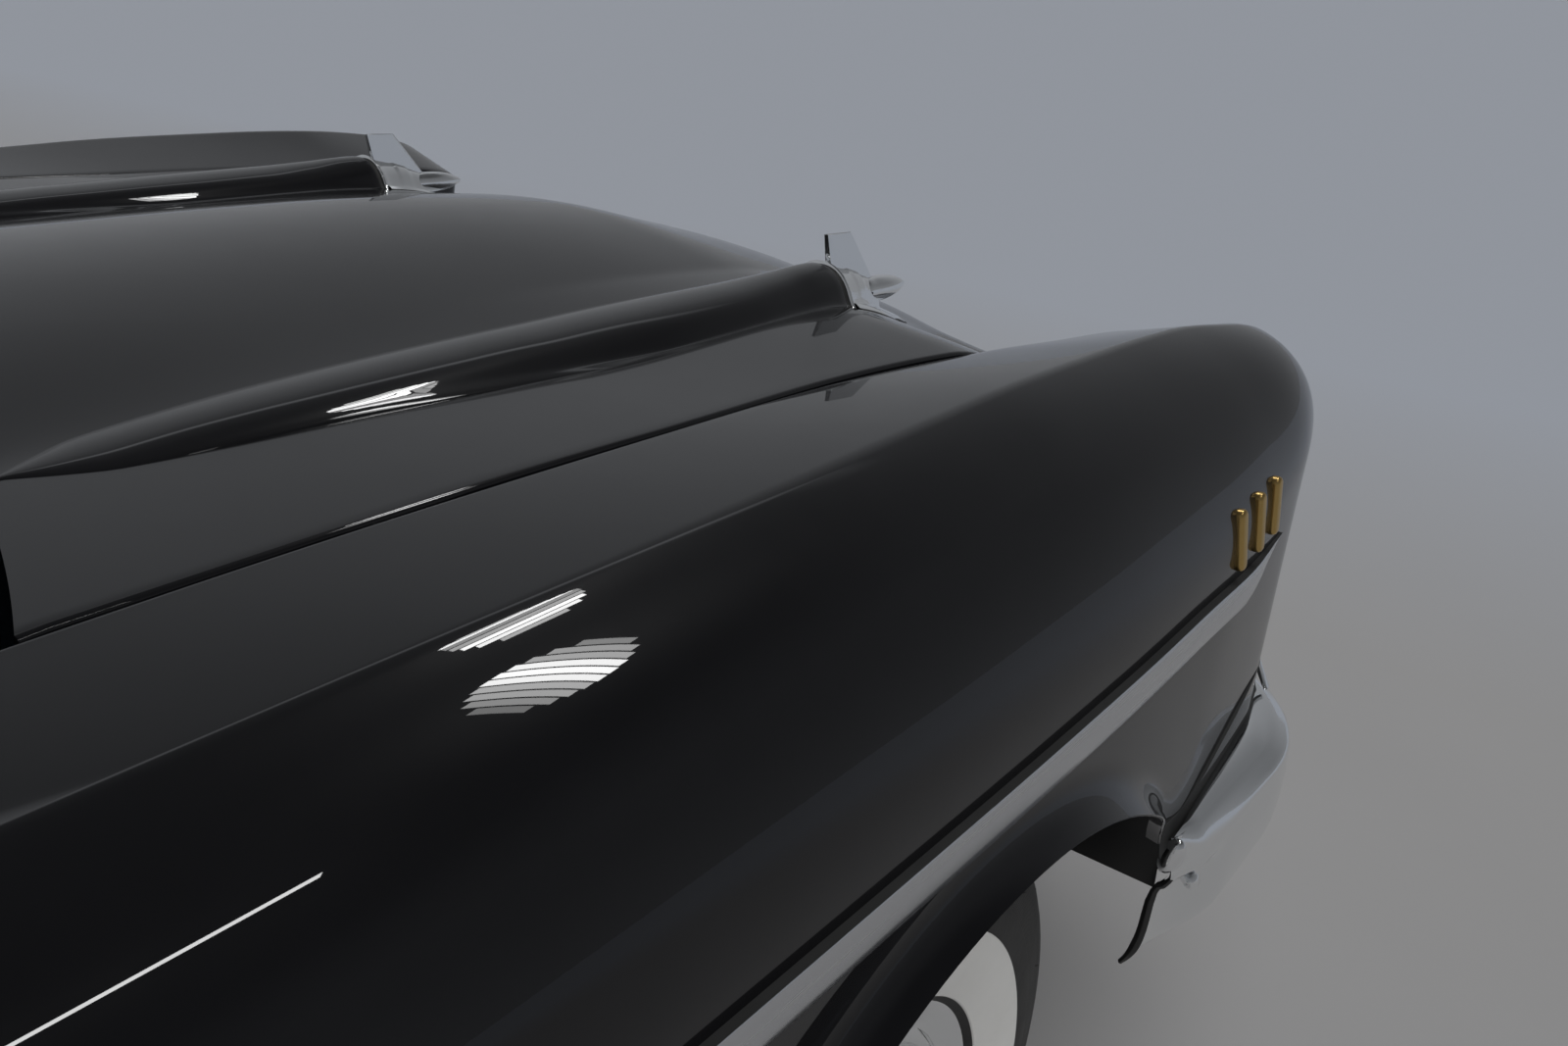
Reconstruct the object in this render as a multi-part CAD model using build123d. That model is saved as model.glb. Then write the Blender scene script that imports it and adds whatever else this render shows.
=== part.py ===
from build123d import *
import os
from math import atan2, cos, pi, radians, sin

# Front end of a 1950s car: frame stub, steering, wheels, fenders, hood, grille and bumper.
# Millimetres. While it is drawn, the front axle is at y = 0 and the road at z = 0,
# forward is -Y, the car's left is +X. Each piece is moved to the frame of the rail-end
# mount when it is written.

# Wheels and steering
TRACK = 1473.0
TYRE_RADIUS = 343.0
TYRE_WIDTH = 205.0
SHOULDER_INSET = 24.0
RIM_RADIUS = 178.0
RIM_WIDTH = 150.0
DRUM_RADIUS = 130.0
COVER_RADIUS = 186.0
DRUM_FACE = 8.0
KINGPIN_INSET = 116.5
KINGPIN_X = TRACK / 2 - KINGPIN_INSET
KNUCKLE_RADIUS = 24.0
BACKING_OFFSET = 46.0
KNUCKLE_HALF = 130.0
SPINDLE_RADIUS = 16.0
STEER_ARM = 170.0
STEER_ARM_DROP = 26.0
RUNNING_GAP = 6.0
PIN_GAP = 0.3
SEAT = 0.3

# Frame stub
RAIL_SPACING = 820.0
RAIL_WIDTH = 76.0
RAIL_HEIGHT = 100.0
RAIL_WALL = 5.0
RAIL_Z = 400.0
RAIL_FRONT_Y = -700.0
CUT_Y = 800.0
PLATE_THICKNESS = 10.0
PLATE_HEIGHT = 180.0
BOLT_RADIUS = 6.5
BOLT_RISE = 69.0

# Suspension
ARM_THICKNESS = 18.0
ARM_SHAFT = 12.0
LOWER_PIVOT_X = 280.0
UPPER_PIVOT_X = 490.0
TOWER_X = 560.0
TOWER_HALF = 75.0
TOWER_FOOT_Z = 400.0
SPRING_X = 506.0
SPRING_RADIUS = 42.0
SPRING_WIRE = 7.0
SPRING_TURNS = 4
SPRING_STATIONS = 14
SPRING_SIDES = 8

# Panels
SHEET = 4.0
GAP = 5.0
COWL_GAP = 8.0
FENDER_FOOT_Z = 250.0
FENDER_REAR_Y = 790.0
NOSE_FOOT_Z = 545.0
HOOD_FLANGE = 18.0
REAR_NOTCH_Y = 440.0
NOSE_TOP_Y = -868.0
NOSE_TOP_Z = 914.0
NOSE_LEAN = 10.0
NOSE_JOIN_Y = -700.0
NOSE_ROUND = 26.0
WALL_BACK_Y = -470.0
SEAM_FLANGE_Z = 915.0
ARCH_Y = -50.0
ARCH_Z = 343.0
ARCH_LENGTH = 414.0
ARCH_HEIGHT = 352.0
ARCH_FRONT_SHARE = 0.6
LIP_X = 920.0
LIP_RISE = 16.0
COWL_FRONT_Y = 340.0
COWL_RADIUS = 1400.0
COWL_HALF = 722.0
COWL_EDGE_Z = 979.0
COWL_CROWN_Z = 1012.0
CROWN_FOOT_X = 330.0
COLUMN_X = 350.0
COLUMN_Z = 690.0
COLUMN_RADIUS = 27.0
FIREWALL_Y = 545.0
FIREWALL_HALF = 660.0
SPEAR_X = 385.0
SPEAR_FRONT_Y = -480.0
COLLAR_HALF = 56.0
COLLAR_DEPTH = 10.0
BULLET_Z = 936.0
BULLET_RADIUS = 18.0
BULLET_TIP = 163.0
FIN_THICKNESS = 7.0
FIN_TOP_Z = 1008.0

# Headlamp and trim
LAMP_X = 728.0
LAMP_Z = 790.0
LAMP_RADIUS = 78.0
BEZEL_RADIUS = 90.0
BEZEL_DEPTH = 14.0
MOULDING_TOP = 768.0
MOULDING_HEIGHT = 37.0
MOULDING_PROUD = 8.0
MARK_YS = (-611.0, -558.0, -503.0)
MARK_Z = 806.0
MARK_LENGTH = 60.0
MARK_WIDTH = 16.0

# Bumper and grille
BUMPER_Z = 425.0
BUMPER_HEIGHT = 170.0
BUMPER_FRONT_Y = -905.0
BUMPER_SIDE_X = 915.0
BUMPER_CORNER = 230.0
BUMPER_TAIL_Y = -440.0
BUMPER_WALL = 6.0
FLANGE_DEPTH = 60.0
FOOT_SETBACK = 48.0
GUARD_RADIUS = 48.0
GUARD_X = 400.0
BRACKET_HALF_WIDTH = 20.0
BRACKET_HALF_HEIGHT = 25.0
GRILLE_Y = -770.0
GRILLE_HALF = 614.7
GRILLE_TOP = 755.0
GRILLE_FOOT = 520.0
GRILLE_BAR = 3.0
GRILLE_COLUMNS = 23
GRILLE_ROWS = 5
GRILLE_RIM = 14.0
BAR_RADIUS = 22.0
POD_RADIUS = 48.0
POD_X = 450.0
SURROUND_FRONT_Y = -838.0
SURROUND_WALL = 22.0
VALANCE_Y = -812.0
VALANCE_FOOT = 400.0

# Engine bay
SUPPORT_Y = -560.0
SUPPORT_HALF = 604.0
RADIATOR_HALF = 300.0
HINGE_X = 440.0
HINGE_Y = 520.0
HINGE_Z = 945.0
HINGE_PIN = 8.0
HINGE_THICKNESS = 10.0
HINGE_REACH = 220.0
HINGE_DIP = 117.0
INNER_WALL_X = 466.0
SHELF_Z = 880.0
WALL_FOOT_Z = 560.0
SUPPORT_DEPTH = 25.0
SUPPORT_TOP = 880.0
RADIATOR_DEPTH = 60.0
RADIATOR_FOOT = 480.0
RADIATOR_TOP = 850.0
TANK_RIM = 20.0
ENGINE_FRONT_Y = -230.0
ENGINE_REAR_Y = 430.0
SUMP_HALF = 110.0
SUMP_Z = 350.0
HEAD_X = 300.0
HEAD_Z = 700.0
CLEANER_RADIUS = 180.0
CLEANER_TOP = 880.0

# Fender sections from the door gap to the nose, left side, x outward:
# y, seam x, seam z, ridge x, ridge z, side x, side z, foot x
FENDER_SECTIONS = (
    (FENDER_REAR_Y, 600.0, 980.0, 742.0, 974.0, 890.0, 775.0, 880.0),
    (400.0, 600.0, 978.0, 739.0, 974.0, 891.0, 772.0, 884.0),
    (0.0, 600.0, 967.0, 737.0, 973.0, 891.0, 770.0, 885.0),
    (-240.0, 593.0, 952.0, 736.0, 971.0, 889.0, 770.0, 883.0),
    (-480.0, 602.0, 932.0, 736.0, 963.0, 881.0, 774.0, 874.0),
    (-620.0, 608.0, 916.0, 736.0, 956.0, 870.0, 788.0, 864.0),
    (-740.0, 614.0, 903.0, 746.0, 941.0, 856.0, 806.0, 850.0),
    (-815.0, 622.0, 890.0, 747.0, 924.0, 840.0, 812.0, 834.0),
    (-880.0, 634.0, 868.0, 742.0, 896.0, 818.0, 812.0, 812.0),
)

# Hood sections from the cowl to the nose: y, edge x, edge z, crown foot x, crown foot z, crown z
HOOD_SECTIONS = (
    (470.0, 595.0, 979.0, 330.0, 979.0, 1012.0),
    (200.0, 595.0, 975.0, 330.0, 976.0, 1014.0),
    (0.0, 595.0, 967.0, 330.0, 968.0, 1011.0),
    (-240.0, 587.0, 952.0, 330.0, 953.0, 1003.0),
    (-480.0, 595.0, 931.0, 330.0, 932.0, 979.0),
    (-620.0, 602.0, 905.0, 330.0, 907.0, 942.0),
    (-740.0, 608.0, 865.0, 330.0, 868.0, 905.0),
    (-815.0, 615.0, 826.0, 330.0, 830.0, 872.0),
    (-856.0, 620.0, 792.0, 330.0, 796.0, 840.0),
)

# Hood spear sections from the ornament to the tail: y, half width, crest z
SPEAR_SECTIONS = (
    (-480.0, 52.0, 979.0),
    (-240.0, 50.0, 981.0),
    (0.0, 46.0, 987.0),
    (200.0, 36.0, 986.0),
    (370.0, 9.0, 980.0),
)

parts = {}


def between(rows, column, y):
    """Value of one table column at y, straight between its rows."""
    for near, far in zip(rows, rows[1:]):
        if near[0] >= y >= far[0]:
            share = (near[0] - y) / (near[0] - far[0])
            return near[column] + share * (far[column] - near[column])
    return rows[0][column] if y > rows[0][0] else rows[-1][column]


def chain(points, y):
    """Closed face in the plane y from (x, z) corners; a corner marked 'arc' is passed by an arc."""
    edges = []
    corners = [(p[0], y, p[1], len(p) == 3) for p in points]
    corners.append(corners[0])
    index = 0
    while index < len(corners) - 1:
        start = corners[index]
        following = corners[index + 1]
        if following[3]:
            end = corners[index + 2]
            edges.append(Edge.make_three_point_arc(start[:3], following[:3], end[:3]))
            index += 2
        else:
            edges.append(Edge.make_line(start[:3], following[:3]))
            index += 1
    return Face(Wire(edges))


def box(x0, x1, y0, y1, z0, z1):
    """Box from its limits."""
    size = (abs(x1 - x0), abs(y1 - y0), abs(z1 - z0))
    return Pos((x0 + x1) / 2, (y0 + y1) / 2, (z0 + z1) / 2) * Box(*size)


def rod_x(x0, x1, y, z, radius):
    """Cylinder along X."""
    return Pos((x0 + x1) / 2, y, z) * Rot(0, 90, 0) * Cylinder(radius, abs(x1 - x0))


def rod_y(x, y0, y1, z, radius):
    """Cylinder along Y."""
    return Pos(x, (y0 + y1) / 2, z) * Rot(90, 0, 0) * Cylinder(radius, abs(y1 - y0))


def rod_z(x, y, z0, z1, radius):
    """Cylinder along Z."""
    return Pos(x, y, (z0 + z1) / 2) * Cylinder(radius, abs(z1 - z0))


def revolve_y(points):
    """Solid turned about the Y axis from (radius, y) corners; a corner marked 'arc' is passed by an arc."""
    flat = chain([(p[0], p[1]) + p[2:] for p in points], 0)
    return Rot(-90, 0, 0) * revolve(flat, axis=Axis.Z)


def side_plate(points, x0, x1):
    """Plate from (y, z) corners, between two x."""
    outline = Wire.make_polygon([(x0, y, z) for y, z in points], close=True)
    return extrude(Face(outline), amount=x1 - x0, dir=(1, 0, 0))


def front_plate(points, y0, y1):
    """Plate from (x, z) corners, between two y."""
    outline = Wire.make_polygon([(x, y0, z) for x, z in points], close=True)
    return extrude(Face(outline), amount=y1 - y0, dir=(0, 1, 0))


def mirrored(shape):
    """The same piece on the other side of the car."""
    return mirror(shape, about=Plane.YZ)


def both_sides(name, shape):
    """Keep a left piece and its mirror image as two nodes."""
    parts[name + "_left"] = shape
    parts[name + "_right"] = mirrored(shape)


def paired(name, shape):
    """Keep a left piece and its mirror image as two solids of one node."""
    parts[name] = Compound(children=shape.solids() + mirrored(shape).solids())


# Fenders

def fender_outline(row, inset, foot_z=FENDER_FOOT_Z):
    """Wall foot, seam, ridge, side arc, side and foot of one section, moved inward by the inset."""
    y, seam_x, seam_z, ridge_x, ridge_z, side_x, side_z, foot_x = row
    across = side_x - ridge_x
    down = ridge_z - side_z
    radius = (across**2 + down**2) / (2 * across)
    centre_x = side_x - radius
    top = atan2(down, ridge_x - centre_x)
    near = radius - inset
    middle = (centre_x + near * cos(top / 2), side_z + near * sin(top / 2), "arc")
    return [
        (seam_x + inset, foot_z),
        (seam_x + inset, seam_z - inset),
        (centre_x + near * cos(top), side_z + near * sin(top)),
        middle,
        (side_x - inset, side_z),
        (foot_x - inset, foot_z),
    ]


def nose_plane():
    """Leaning plane that the headlamp and the fender's front edge lie in, facing forward."""
    normal = (0, -cos(radians(NOSE_LEAN)), -sin(radians(NOSE_LEAN)))
    return Plane(origin=(0, NOSE_TOP_Y, NOSE_TOP_Z), x_dir=(1, 0, 0), z_dir=normal)


def fender_row(y):
    """Section values of the fender at y."""
    return [y] + [between(FENDER_SECTIONS, column, y) for column in range(1, 8)]


def nose_face(depth, inset):
    """Leaning section of the fender at a depth behind the nose plane."""
    y = NOSE_TOP_Y + depth
    flat = Pos(0, 0, -NOSE_TOP_Z) * chain(fender_outline(fender_row(y), inset, NOSE_FOOT_Z), 0)
    return Pos(0, y, NOSE_TOP_Z) * Rot(NOSE_LEAN, 0, 0) * flat


def fender_body(inset):
    """Solid of the fender's outer form, moved inward by the inset."""
    joint = fender_row(NOSE_JOIN_Y)
    rows = [row for row in FENDER_SECTIONS if row[0] > NOSE_JOIN_Y] + [joint]
    body = loft([chain(fender_outline(row, inset), row[0]) for row in rows], ruled=True)
    faces = [chain(fender_outline(joint, inset, NOSE_FOOT_Z), NOSE_JOIN_Y)]
    for share in (0.0, 0.5, 0.85, 1.0):
        drop = NOSE_ROUND * (1 - (1 - share**2) ** 0.5)
        faces.append(nose_face(NOSE_ROUND * (1 - share) + inset, drop + inset))
    return body + loft(faces, ruled=True)


def cowl_disc(radius, z0=0.0, z1=1300.0):
    """Upright cylinder whose front edge is the rear edge of the hood."""
    return rod_z(0, COWL_FRONT_Y + COWL_RADIUS, z0, z1, radius)


def wheel_opening(grow, x0, x1):
    """Elliptical wheel opening between two x."""
    plane = Plane(origin=(x0, ARCH_Y, ARCH_Z), x_dir=(0, 1, 0), z_dir=(1, 0, 0))
    return extrude(plane * Ellipse(ARCH_LENGTH + grow, ARCH_HEIGHT + grow), amount=x1 - x0)


def arch_flare():
    """Rim of the wheel opening, flaring outward from the fender's side."""
    root_x = between(FENDER_SECTIONS, 7, 0) - 1.0
    planes = [Plane(origin=(x, ARCH_Y, ARCH_Z), x_dir=(0, 1, 0), z_dir=(1, 0, 0)) for x in (root_x, LIP_X)]
    wide = planes[0] * Ellipse(ARCH_LENGTH + LIP_RISE, ARCH_HEIGHT + LIP_RISE)
    narrow = planes[1] * Ellipse(ARCH_LENGTH + SHEET, ARCH_HEIGHT + SHEET)
    ring = loft([wide.face(), narrow.face()])
    ring = ring - wheel_opening(0, root_x - 10, LIP_X + 10)
    ring = ring - box(root_x - 10, LIP_X + 10, -900, ARCH_Y, -200, NOSE_FOOT_Z)
    return ring - box(root_x - 10, LIP_X + 10, ARCH_Y, 900, -200, FENDER_FOOT_Z)


def fender():
    """Left fender: one pressed shell with its nose, lamp hole and flared wheel opening."""
    shell = fender_body(0) - fender_body(SHEET)
    lamp_hole = lamp_place() * rod_y(0, -40, 40, 0, LAMP_RADIUS + 4)
    front_y = ARCH_Y - ARCH_LENGTH * ARCH_FRONT_SHARE
    shell = shell - lamp_hole
    shell = shell - wheel_opening(LIP_RISE / 2, LAMP_X, LIP_X + 40)
    shell = shell - box(400, 1000, -900, front_y, 0, NOSE_FOOT_Z)
    shell = shell - box(500, LAMP_X, WALL_BACK_Y, 900, 0, SEAM_FLANGE_Z)
    shell = shell - (cowl_disc(COWL_RADIUS) & box(0, COWL_HALF + GAP, 0, 900, 900, 1100))
    return shell + arch_flare()


def nose_y(z):
    """Where the nose plane is at a height."""
    plane = nose_plane()
    return plane.origin.Y - (z - plane.origin.Z) * plane.z_dir.Z / plane.z_dir.Y


def moulding():
    """Bright side moulding, seated on the fender's side."""
    faces = []
    for row in FENDER_SECTIONS[:6]:
        faces.append(moulding_face(row[0], 1.0))
    faces.append(moulding_face(-700.0, 0.15))
    return loft(faces, ruled=True)


def moulding_face(y, share):
    """Section of the moulding; its height shrinks to a point at the front."""
    side = between(FENDER_SECTIONS, 5, y)
    middle = MOULDING_TOP - MOULDING_HEIGHT / 2
    half = MOULDING_HEIGHT / 2 * share
    return chain([
        (side - 8, middle + half),
        (side + 1, middle + half),
        (side + MOULDING_PROUD * share, middle, "arc"),
        (side + 1, middle - half),
        (side - 8, middle - half),
    ], y)


def fender_marks(shell):
    """Three short upright bars on the fender's side, behind the lamp."""
    marks = []
    for y in MARK_YS:
        x = between(FENDER_SECTIONS, 5, y)
        bar = box(x - 30, x + 6, y - MARK_WIDTH / 2, y + MARK_WIDTH / 2, MARK_Z - MARK_LENGTH / 2,
                  MARK_Z + MARK_LENGTH / 2)
        bar = fillet(bar.edges().filter_by(Axis.X), MARK_WIDTH * 0.45)
        bar = bar & box(x - 8, x + 6, -700, -400, 0, 1000)
        marks.append(bar - shell)
    return Compound(children=[solid for mark in marks for solid in biggest(mark)])


def biggest(shape):
    """The largest solid of a cut."""
    return [max(shape.solids(), key=lambda solid: solid.volume)]


# Hood

def hood_face(row, inset):
    """Section of the hood: side flanges, flat shoulders and the crown, moved inward by the inset."""
    y, edge_x, edge_z, foot_x, foot_z, crown_z = row
    side_x = edge_x - inset
    return chain([(side_x, edge_z - HOOD_FLANGE), (side_x, edge_z - inset), (foot_x, foot_z - inset),
                  (0.0, crown_z - inset, "arc"), (-foot_x, foot_z - inset), (-side_x, edge_z - inset),
                  (-side_x, edge_z - HOOD_FLANGE)], y)


def pressed_panel(rows):
    """Thin panel with down-turned edges through a table of hood sections."""
    outer = loft([hood_face(row, 0) for row in rows], ruled=True)
    inner = loft([hood_face(row, SHEET) for row in rows], ruled=True)
    return outer - inner


def spear():
    """Left hood spear: a bulge that runs back to a point."""
    faces = []
    for y, half, crest in SPEAR_SECTIONS:
        base = between(HOOD_SECTIONS, 4, y) - SHEET / 2
        faces.append(chain([(SPEAR_X + half, base), (SPEAR_X, crest, "arc"), (SPEAR_X - half, base)], y))
    return loft(faces, ruled=True)


def hood():
    """Hood panel with its two spears; its side flanges are notched to swing past the cowl."""
    panel = pressed_panel(HOOD_SECTIONS)
    panel = panel - cowl_disc(COWL_RADIUS + COWL_GAP)
    sheet_z = HOOD_SECTIONS[0][2] - SHEET
    for side in (-1, 1):
        x = side * HOOD_SECTIONS[0][1]
        panel = panel - box(x - 10, x + 10, REAR_NOTCH_Y, FIREWALL_Y, sheet_z - HOOD_FLANGE, sheet_z)
    left = spear()
    return panel + left + mirrored(left)


def ornament_face(y, half, crest, base):
    """Arched section of the ornament's body."""
    return chain([(SPEAR_X + half, base), (SPEAR_X, crest, "arc"), (SPEAR_X - half, base)], y)


def ornament(panel):
    """Left hood ornament: collar, fin and bullet on a foot that follows the hood."""
    front = SPEAR_FRONT_Y
    back = front - COLLAR_DEPTH
    collar = loft([ornament_face(front - SEAT, COLLAR_HALF, 983, 925),
                   ornament_face(back, COLLAR_HALF, 982, 920)])
    body = loft([ornament_face(back, COLLAR_HALF - 6, 976, 920), ornament_face(front - 45, 34, 962, 915),
                 ornament_face(front - 95, 17, 944, 900)])
    foot = loft([ornament_face(back, COLLAR_HALF - 4, 945, 915), ornament_face(front - 95, 30, 920, 890),
                 ornament_face(front - 175, 8, 900, 870)])
    tip = revolve_y([(0, front - 60), (BULLET_RADIUS, front - 60), (BULLET_RADIUS - 1, front - 100),
                     (BULLET_RADIUS * 0.7, front - 135), (0, front - BULLET_TIP)])
    bullet = Pos(SPEAR_X, 0, BULLET_Z) * tip
    fin = side_plate([(back, BULLET_Z + 24), (back - 2, FIN_TOP_Z), (front - 56, FIN_TOP_Z - 5),
                      (front - 108, BULLET_Z + 10), (front - 90, BULLET_Z - 1), (front - 40, BULLET_Z - 1)],
                     SPEAR_X - FIN_THICKNESS / 2, SPEAR_X + FIN_THICKNESS / 2)
    whole = collar + body + foot + bullet + fin
    return Compound(children=biggest(whole - panel))


def hinge_arm():
    """Left hood hinge: a gooseneck from its pivot to the underside of the hood."""
    half = HINGE_THICKNESS / 2
    under = between(HOOD_SECTIONS, 4, HINGE_Y - HINGE_REACH) - SHEET
    neck = HINGE_REACH * 0.7
    outline = [(HINGE_Y + 14, HINGE_Z + 12), (HINGE_Y + 14, HINGE_Z - 14),
               (HINGE_Y - 88, HINGE_Z - HINGE_DIP),
               (HINGE_Y - neck, HINGE_Z - HINGE_DIP), (HINGE_Y - neck - 4, under - 8),
               (HINGE_Y - HINGE_REACH, under - SEAT), (HINGE_Y - 126, under - SEAT),
               (HINGE_Y - 128, HINGE_Z - HINGE_DIP + 34), (HINGE_Y - 92, HINGE_Z - HINGE_DIP + 34),
               (HINGE_Y - 12, HINGE_Z + 12)]
    arm = side_plate(outline, HINGE_X - half, HINGE_X + half)
    return arm - rod_x(HINGE_X - 20, HINGE_X + 20, HINGE_Y, HINGE_Z, HINGE_PIN + PIN_GAP)


def hinge_bracket():
    """Left hinge bracket on the firewall, with the pivot pin."""
    inner = HINGE_X - HINGE_THICKNESS / 2 - 2.0
    ear = side_plate([(FIREWALL_Y, HINGE_Z + 16), (FIREWALL_Y, HINGE_Z - 60), (HINGE_Y - 12, HINGE_Z - 14),
                      (HINGE_Y - 12, HINGE_Z + 12)], inner - 6, inner)
    return ear + rod_x(inner - 3, HINGE_X + 12, HINGE_Y, HINGE_Z, HINGE_PIN)


# Cowl and firewall

def cowl():
    """Cowl panel between the hood and the windscreen, with its down-turned edges."""
    rows = [(y, COWL_HALF, COWL_EDGE_Z, CROWN_FOOT_X, COWL_EDGE_Z, COWL_CROWN_Z)
            for y in (CUT_Y - 30, 300.0)]
    return pressed_panel(rows) & cowl_disc(COWL_RADIUS)


def firewall():
    """Firewall under the cowl panel, with the hole for the steering column."""
    foot = RAIL_Z + RAIL_HEIGHT / 2 + SEAT
    top = COWL_EDGE_Z - SHEET - SEAT
    crown = COWL_CROWN_Z - SHEET - SEAT
    outline = chain([(FIREWALL_HALF, foot), (FIREWALL_HALF, top), (CROWN_FOOT_X, top), (0.0, crown, "arc"),
                     (-CROWN_FOOT_X, top), (-FIREWALL_HALF, top), (-FIREWALL_HALF, foot)], FIREWALL_Y)
    panel = extrude(outline, amount=6, dir=(0, 1, 0))
    return panel - rod_y(COLUMN_X, FIREWALL_Y - 20, FIREWALL_Y + 30, COLUMN_Z, COLUMN_RADIUS)


# Frame

def rail():
    """Left frame rail: a closed box tube."""
    x = RAIL_SPACING / 2
    outer = box(x - RAIL_WIDTH / 2, x + RAIL_WIDTH / 2, RAIL_FRONT_Y, CUT_Y - PLATE_THICKNESS,
                RAIL_Z - RAIL_HEIGHT / 2, RAIL_Z + RAIL_HEIGHT / 2)
    inner = box(x - RAIL_WIDTH / 2 + RAIL_WALL, x + RAIL_WIDTH / 2 - RAIL_WALL, RAIL_FRONT_Y + RAIL_WALL,
                CUT_Y, RAIL_Z - RAIL_HEIGHT / 2 + RAIL_WALL, RAIL_Z + RAIL_HEIGHT / 2 - RAIL_WALL)
    plate = box(x - RAIL_WIDTH / 2, x + RAIL_WIDTH / 2, CUT_Y - PLATE_THICKNESS, CUT_Y,
                RAIL_Z - PLATE_HEIGHT / 2, RAIL_Z + PLATE_HEIGHT / 2)
    tube = outer - inner + plate
    for rise in (-BOLT_RISE, BOLT_RISE):
        tube = tube - rod_y(x, CUT_Y - 40, CUT_Y + 10, RAIL_Z + rise, BOLT_RADIUS)
    tower = box(x + RAIL_WIDTH / 2, TOWER_X, -TOWER_HALF, TOWER_HALF, TOWER_FOOT_Z, upper_arm_z() - 3)
    return tube + tower


def upper_arm_z():
    """Underside of the upper wishbones, just above the knuckles."""
    return TYRE_RADIUS + KNUCKLE_HALF + SEAT


def lower_arm_z():
    """Underside of the lower wishbones, just below the knuckles."""
    return TYRE_RADIUS - KNUCKLE_HALF - SEAT - ARM_THICKNESS


def crossmember():
    """Front crossmember under the engine, with a lug for each lower wishbone."""
    half = RAIL_SPACING / 2 - RAIL_WIDTH / 2
    floor = RAIL_Z - 120
    beam = front_plate([(-half, RAIL_Z + 30), (-half, RAIL_Z - 50), (-half + 70, floor),
                        (half - 70, floor), (half, RAIL_Z - 50), (half, RAIL_Z + 30),
                        (half - 60, RAIL_Z + 30), (half - 110, RAIL_Z - 60), (-half + 110, RAIL_Z - 60),
                        (-half + 60, RAIL_Z + 30)], -70, 70)
    pivot = lower_arm_z() + ARM_THICKNESS / 2
    for side in (-1, 1):
        x = side * LOWER_PIVOT_X
        beam = beam + box(x - 18, x + 18, -50, 50, pivot - 18, floor)
        beam = beam - rod_y(x, -60, 60, pivot, ARM_SHAFT + PIN_GAP)
    return beam


def wishbone(inner_x, z, half_base, window_x):
    """Left wishbone from its pivot shaft to the ball joint under or over the knuckle."""
    slope = (half_base - 22) / (KINGPIN_X - inner_x)
    outline = Wire.make_polygon([(inner_x, -half_base, z), (inner_x, half_base, z),
                                 (KINGPIN_X, 22, z), (KINGPIN_X, -22, z)], close=True)
    near = half_base - 34
    far = half_base - slope * (window_x - inner_x) - 34
    window = Wire.make_polygon([(inner_x - 20, -near, z), (inner_x - 20, near, z),
                                (window_x, far, z), (window_x, -far, z)], close=True)
    plate = extrude(Face(outline), amount=ARM_THICKNESS, dir=(0, 0, 1))
    plate = plate - extrude(Face(window), amount=ARM_THICKNESS, dir=(0, 0, 1))
    shaft = rod_y(inner_x, -half_base - 12, half_base + 12, z + ARM_THICKNESS / 2, ARM_SHAFT)
    return plate + shaft + rod_z(KINGPIN_X, 0, z, z + ARM_THICKNESS, KNUCKLE_RADIUS)


def coil_spring():
    """Left coil spring between the lower wishbone and the tower."""
    foot = lower_arm_z() + ARM_THICKNESS + SEAT + SPRING_WIRE
    top = TOWER_FOOT_Z - SEAT - SPRING_WIRE
    count = SPRING_TURNS * SPRING_STATIONS
    slope = atan2(top - foot, 2 * pi * SPRING_RADIUS * SPRING_TURNS)
    sections = []
    for k in range(count + 1):
        turn = 2 * pi * k / SPRING_STATIONS
        out = Vector(cos(turn), sin(turn), 0)
        ahead = Vector(-sin(turn) * cos(slope), cos(turn) * cos(slope), sin(slope))
        spot = Vector(SPRING_X, 0, foot + (top - foot) * k / count) + out * SPRING_RADIUS
        place = Plane(origin=spot, x_dir=out, z_dir=ahead)
        sections.append(place * RegularPolygon(SPRING_WIRE, SPRING_SIDES))
    return loft(sections, ruled=True)


# Knuckles and wheels

def knuckle():
    """Left knuckle: upright kingpin barrel, spindle and steering arm."""
    centre = TYRE_RADIUS
    barrel = rod_z(KINGPIN_X, 0, centre - KNUCKLE_HALF, centre + KNUCKLE_HALF, KNUCKLE_RADIUS)
    spindle = rod_x(KINGPIN_X, TRACK / 2 + 40, 0, centre, SPINDLE_RADIUS)
    arm_top = centre - STEER_ARM_DROP
    arm = box(KINGPIN_X - 14, KINGPIN_X + 14, 0, STEER_ARM + 14, arm_top - 16, arm_top)
    arm = arm - rod_z(KINGPIN_X, STEER_ARM, 0, 900, 8 + PIN_GAP)
    plate_x = KINGPIN_X + BACKING_OFFSET
    backing = rod_x(plate_x, plate_x + 4, 0, centre, DRUM_RADIUS + 2)
    return barrel + spindle + arm + backing


def tyre():
    """Left tyre: a ring on the rim, widest at half its height, with a flat tread."""
    x = TRACK / 2
    half = TYRE_WIDTH / 2
    bead = RIM_WIDTH / 2
    wall = (RIM_RADIUS + TYRE_RADIUS) / 2
    tread = half - SHOULDER_INSET
    return revolve_x([
        (x - bead, RIM_RADIUS), (x + bead, RIM_RADIUS), (x + half, wall), (x + tread, TYRE_RADIUS),
        (x - tread, TYRE_RADIUS), (x - half, wall)])


def revolve_x(points):
    """Solid turned about the wheel's axis from (x, radius) corners."""
    profile = Wire.make_polygon([(x, r, 0) for x, r in points], close=True)
    return Pos(0, 0, TYRE_RADIUS) * revolve(Face(profile), axis=Axis.X)


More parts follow.
